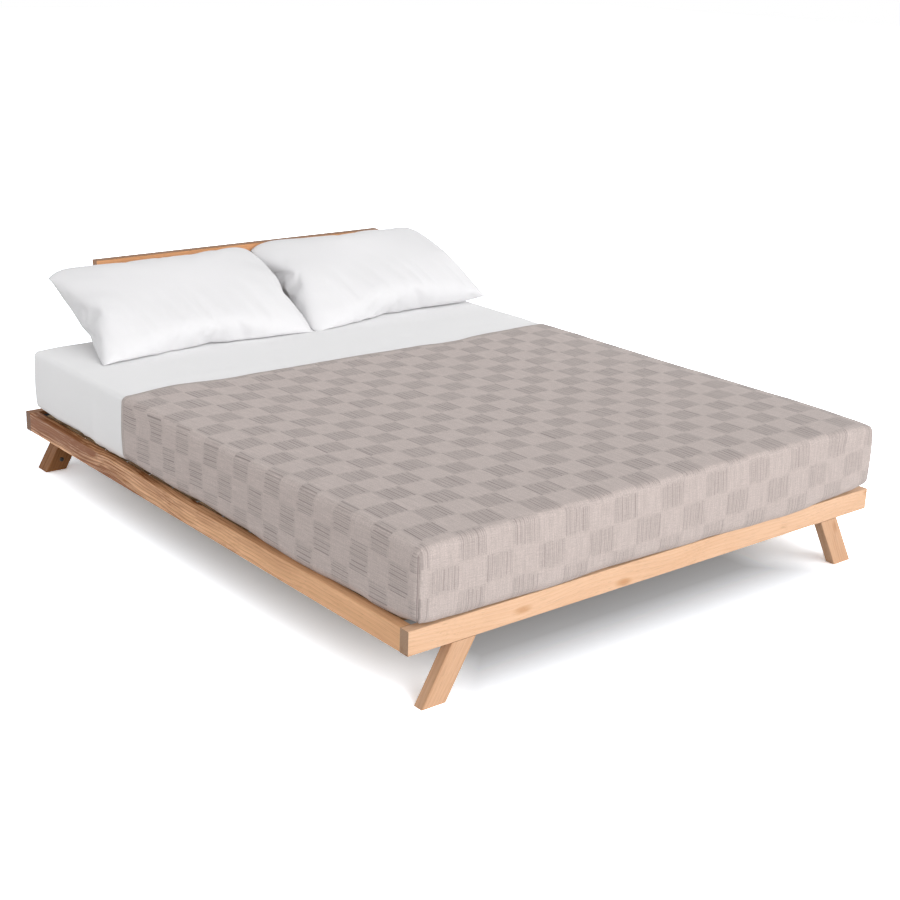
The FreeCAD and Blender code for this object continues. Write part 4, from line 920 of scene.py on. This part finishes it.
# Painted shade: a dark line in the fold just beside each foot corner, on the lower part of the sides, drawn
# in the stripe colour.
off_side = minus(-blanket_low.x, reckon("ABSOLUTE", lie[0]))
off_painted_fold_shade = apart(minus(minus(lie[1], blanket_low.y), off_side), painted_fold_shade_place)
fold = times(between(off_painted_fold_shade, *painted_fold_shade_line, 0.85, 0.0), between(lie[2], *painted_fold_shade_heights, 1.0, 0.0))
strength = reckon("MAXIMUM", reckon("MAXIMUM", stripes, stitch), fold)
feed(shader, {"Base Color": blended(strength, heather, stripe_colour)})
blanket.data.materials.append(material)
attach(blanket, "made_mattress")
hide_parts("blanket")

# Pillows: two cotton cases, each two panels sewn together round their edges, filled until they
# are plump. They lean from the mattress on to the headboard.
case_width, case_depth, case_pitch = 0.835, 0.445, 0.0107
flat_rise, filled_rise, lump_share, seam_crease = 0.032, 0.084, 0.16, 0.7
fill_pressure, fill_frames, fill_quality, case_stiffness = 1.9, 16, 6, 0.05
pillow_lean = math.asin(0.2407 / 0.40)
top_bow, fold_rise = 0.040, 0.0095
end_share, broad_share = 0.45, 0.5          # rise of the end seams' and the broad folds, by fold_rise
case_colour = (0.685, 0.680, 0.690, 1)
case_cotton = cloth_material("pillow_percale", case_colour, 1700, 0.012, 0.0002, place="Object")[0]


def sewn_case(name, rise, seed):
    """Two panels of cloth sewn round their edges, lying flat at the origin with some fill inside."""
    across, deep = round(case_width / case_pitch), round(case_depth / case_pitch)
    verts, index = [], {}
    for face in (1, -1):
        for j in range(deep + 1):
            for i in range(across + 1):
                if face < 0 and (i in (0, across) or j in (0, deep)):
                    index[face, i, j] = index[1, i, j]
                    continue
                u, v = 2 * i / across - 1, 2 * j / deep - 1
                spot = Vector((u * case_width / 2, v * case_depth / 2, 0))
                lump = 1 + lump_share * noise.noise(Vector((spot.x * 7, spot.y * 7, face * 3 + seed)))
                spot.z = face * rise * lump * ((1 - u ** 4) * (1 - v ** 4)) ** 0.6
                index[face, i, j] = len(verts)
                verts.append(spot)
    faces = [[index[face, i, j], index[face, i + 1, j], index[face, i + 1, j + 1],
              index[face, i, j + 1]][::face]
             for face in (1, -1) for j in range(deep) for i in range(across)]
    mesh = bpy.data.meshes.new(name)
    mesh.from_pydata(verts, [], faces)
    crease = mesh.attributes.new("crease_edge", "FLOAT", "EDGE")
    seam = {index[1, i, j] for i in range(across + 1) for j in range(deep + 1)
            if i in (0, across) or j in (0, deep)}
    crease.data.foreach_set("value", [seam_crease * (edge.vertices[0] in seam and edge.vertices[1] in seam)
                                      for edge in mesh.edges])
    return placed(name, mesh)


def fill(piece):
    """Blows the case up like its filling does, and keeps the shape."""
    take_up(piece)
    modifier = piece.modifiers.new("fill", "CLOTH")
    settings = modifier.settings
    settings.use_pressure = True
    settings.uniform_pressure_force = fill_pressure
    settings.effector_weights.gravity = 0
    settings.quality = fill_quality
    settings.bending_stiffness = case_stiffness
    modifier.collision_settings.use_collision = False
    modifier.point_cache.frame_end = fill_frames
    for frame_number in range(1, fill_frames + 1):
        bpy.context.scene.frame_set(frame_number)
    bpy.ops.object.modifier_apply(modifier=modifier.name)
    bpy.context.scene.frame_set(1)


def crease(piece, seed):
    """Soft folds in the slack cloth: up from the lower seam, and in from both end seams."""
    points = [vertex.co.copy() for vertex in piece.data.vertices]
    normals = [vertex.normal.copy() for vertex in piece.data.vertices]
    half_width, half_depth = max(point.x for point in points), max(point.y for point in points)
    for vertex, point, normal in zip(piece.data.vertices, points, normals):
        u, v = point.x / half_width, point.y / half_depth
        off_seam = (1 - u ** 8) * (1 - v ** 8)
        lower = held((0.15 - v) / 0.7)
        ends = held((abs(u) - 0.58) / 0.3)
        upright = noise.noise(Vector((point.x * 21 + point.y * 6, point.y * 3.5, seed)))
        level = noise.noise(Vector((point.x * 3.5, point.y * 19 + point.x * 5, seed + 4)))
        broad = noise.noise(Vector((point.x * 6, point.y * 6, seed + 9)))
        fold = fold_rise * (lower * upright + end_share * ends * level + broad_share * broad)
        vertex.co = point + normal * off_seam * fold


def lean(piece, node, corners, left_fill, right_fill):
    """Sets a filled pillow on the sheet, against the headboard, flattened where it rests."""
    low, high = (Vector(corner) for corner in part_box(node))
    points = [vertex.co for vertex in piece.data.vertices]
    half_width, half_depth = max(point.x for point in points), max(point.y for point in points)
    (near_left, near_right), (far_left, far_right) = corners
    for point in points:
        u, v = (point.x / half_width + 1) / 2, (point.y / half_depth + 1) / 2
        u += (right_fill if u > 0.5 else left_fill) * (2 * u - 1) ** 5 * 4 * v * (1 - v)
        near = [first + (second - first) * u for first, second in zip(near_left, near_right)]
        far = [first + (second - first) * u for first, second in zip(far_left, far_right)]
        bow = top_bow * (1 - (2 * u - 1) ** 12) * v * v
        point.x = near[0] + (far[0] - near[0]) * v
        point.y = near[1] + (far[1] - near[1]) * v + bow
    middle = (low + high) / 2
    piece.data.transform(Matrix.Translation((0, middle.y, middle.z)) @ Matrix.Rotation(pillow_lean, 4, "X"))
    for point in points:
        bed_top = low.z - settle(point.x, min(point.y, 0.9), mattress_high.z)
        sunk = bed_top + rest_ease - point.z
        if sunk > 0:
            squash = rest_ease - sheet_clear
            point.z = bed_top + sheet_clear + squash * math.exp(-sunk / squash)
        beyond = point.y - (high.y - rest_ease)
        if beyond > 0:
            point.y = high.y - rest_ease * math.exp(-beyond / rest_ease)


# Where the four corners lie, across the bed and up the lean: the near edge, then the far one.
left_corners = ((-0.738, -0.232), (0.056, -0.232)), ((-0.765, 0.164), (0.000, 0.172))
right_corners = ((0.062, -0.238), (0.862, -0.172)), ((0.006, 0.182), (0.735, 0.172))
rest_ease, sheet_clear = 0.014, 0.0025
left_fills, right_fills = (-0.005, 0.050), (0.030, 0.030)
for node, body, seed, corners, fills in (("pillow_left", "left_pillow", 3, left_corners, left_fills),
                                         ("pillow_right", "right_pillow", 8, right_corners, right_fills)):
    case = sewn_case(node + "_case", flat_rise, seed)
    fill(case)
    apply_modifier(case, "SUBSURF", levels=1, render_levels=1)
    crease(case, seed)
    lean(case, node, corners, *fills)
    case.data.shade_smooth()
    case.data.materials.append(case_cotton)
    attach(case, body)
    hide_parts(node)
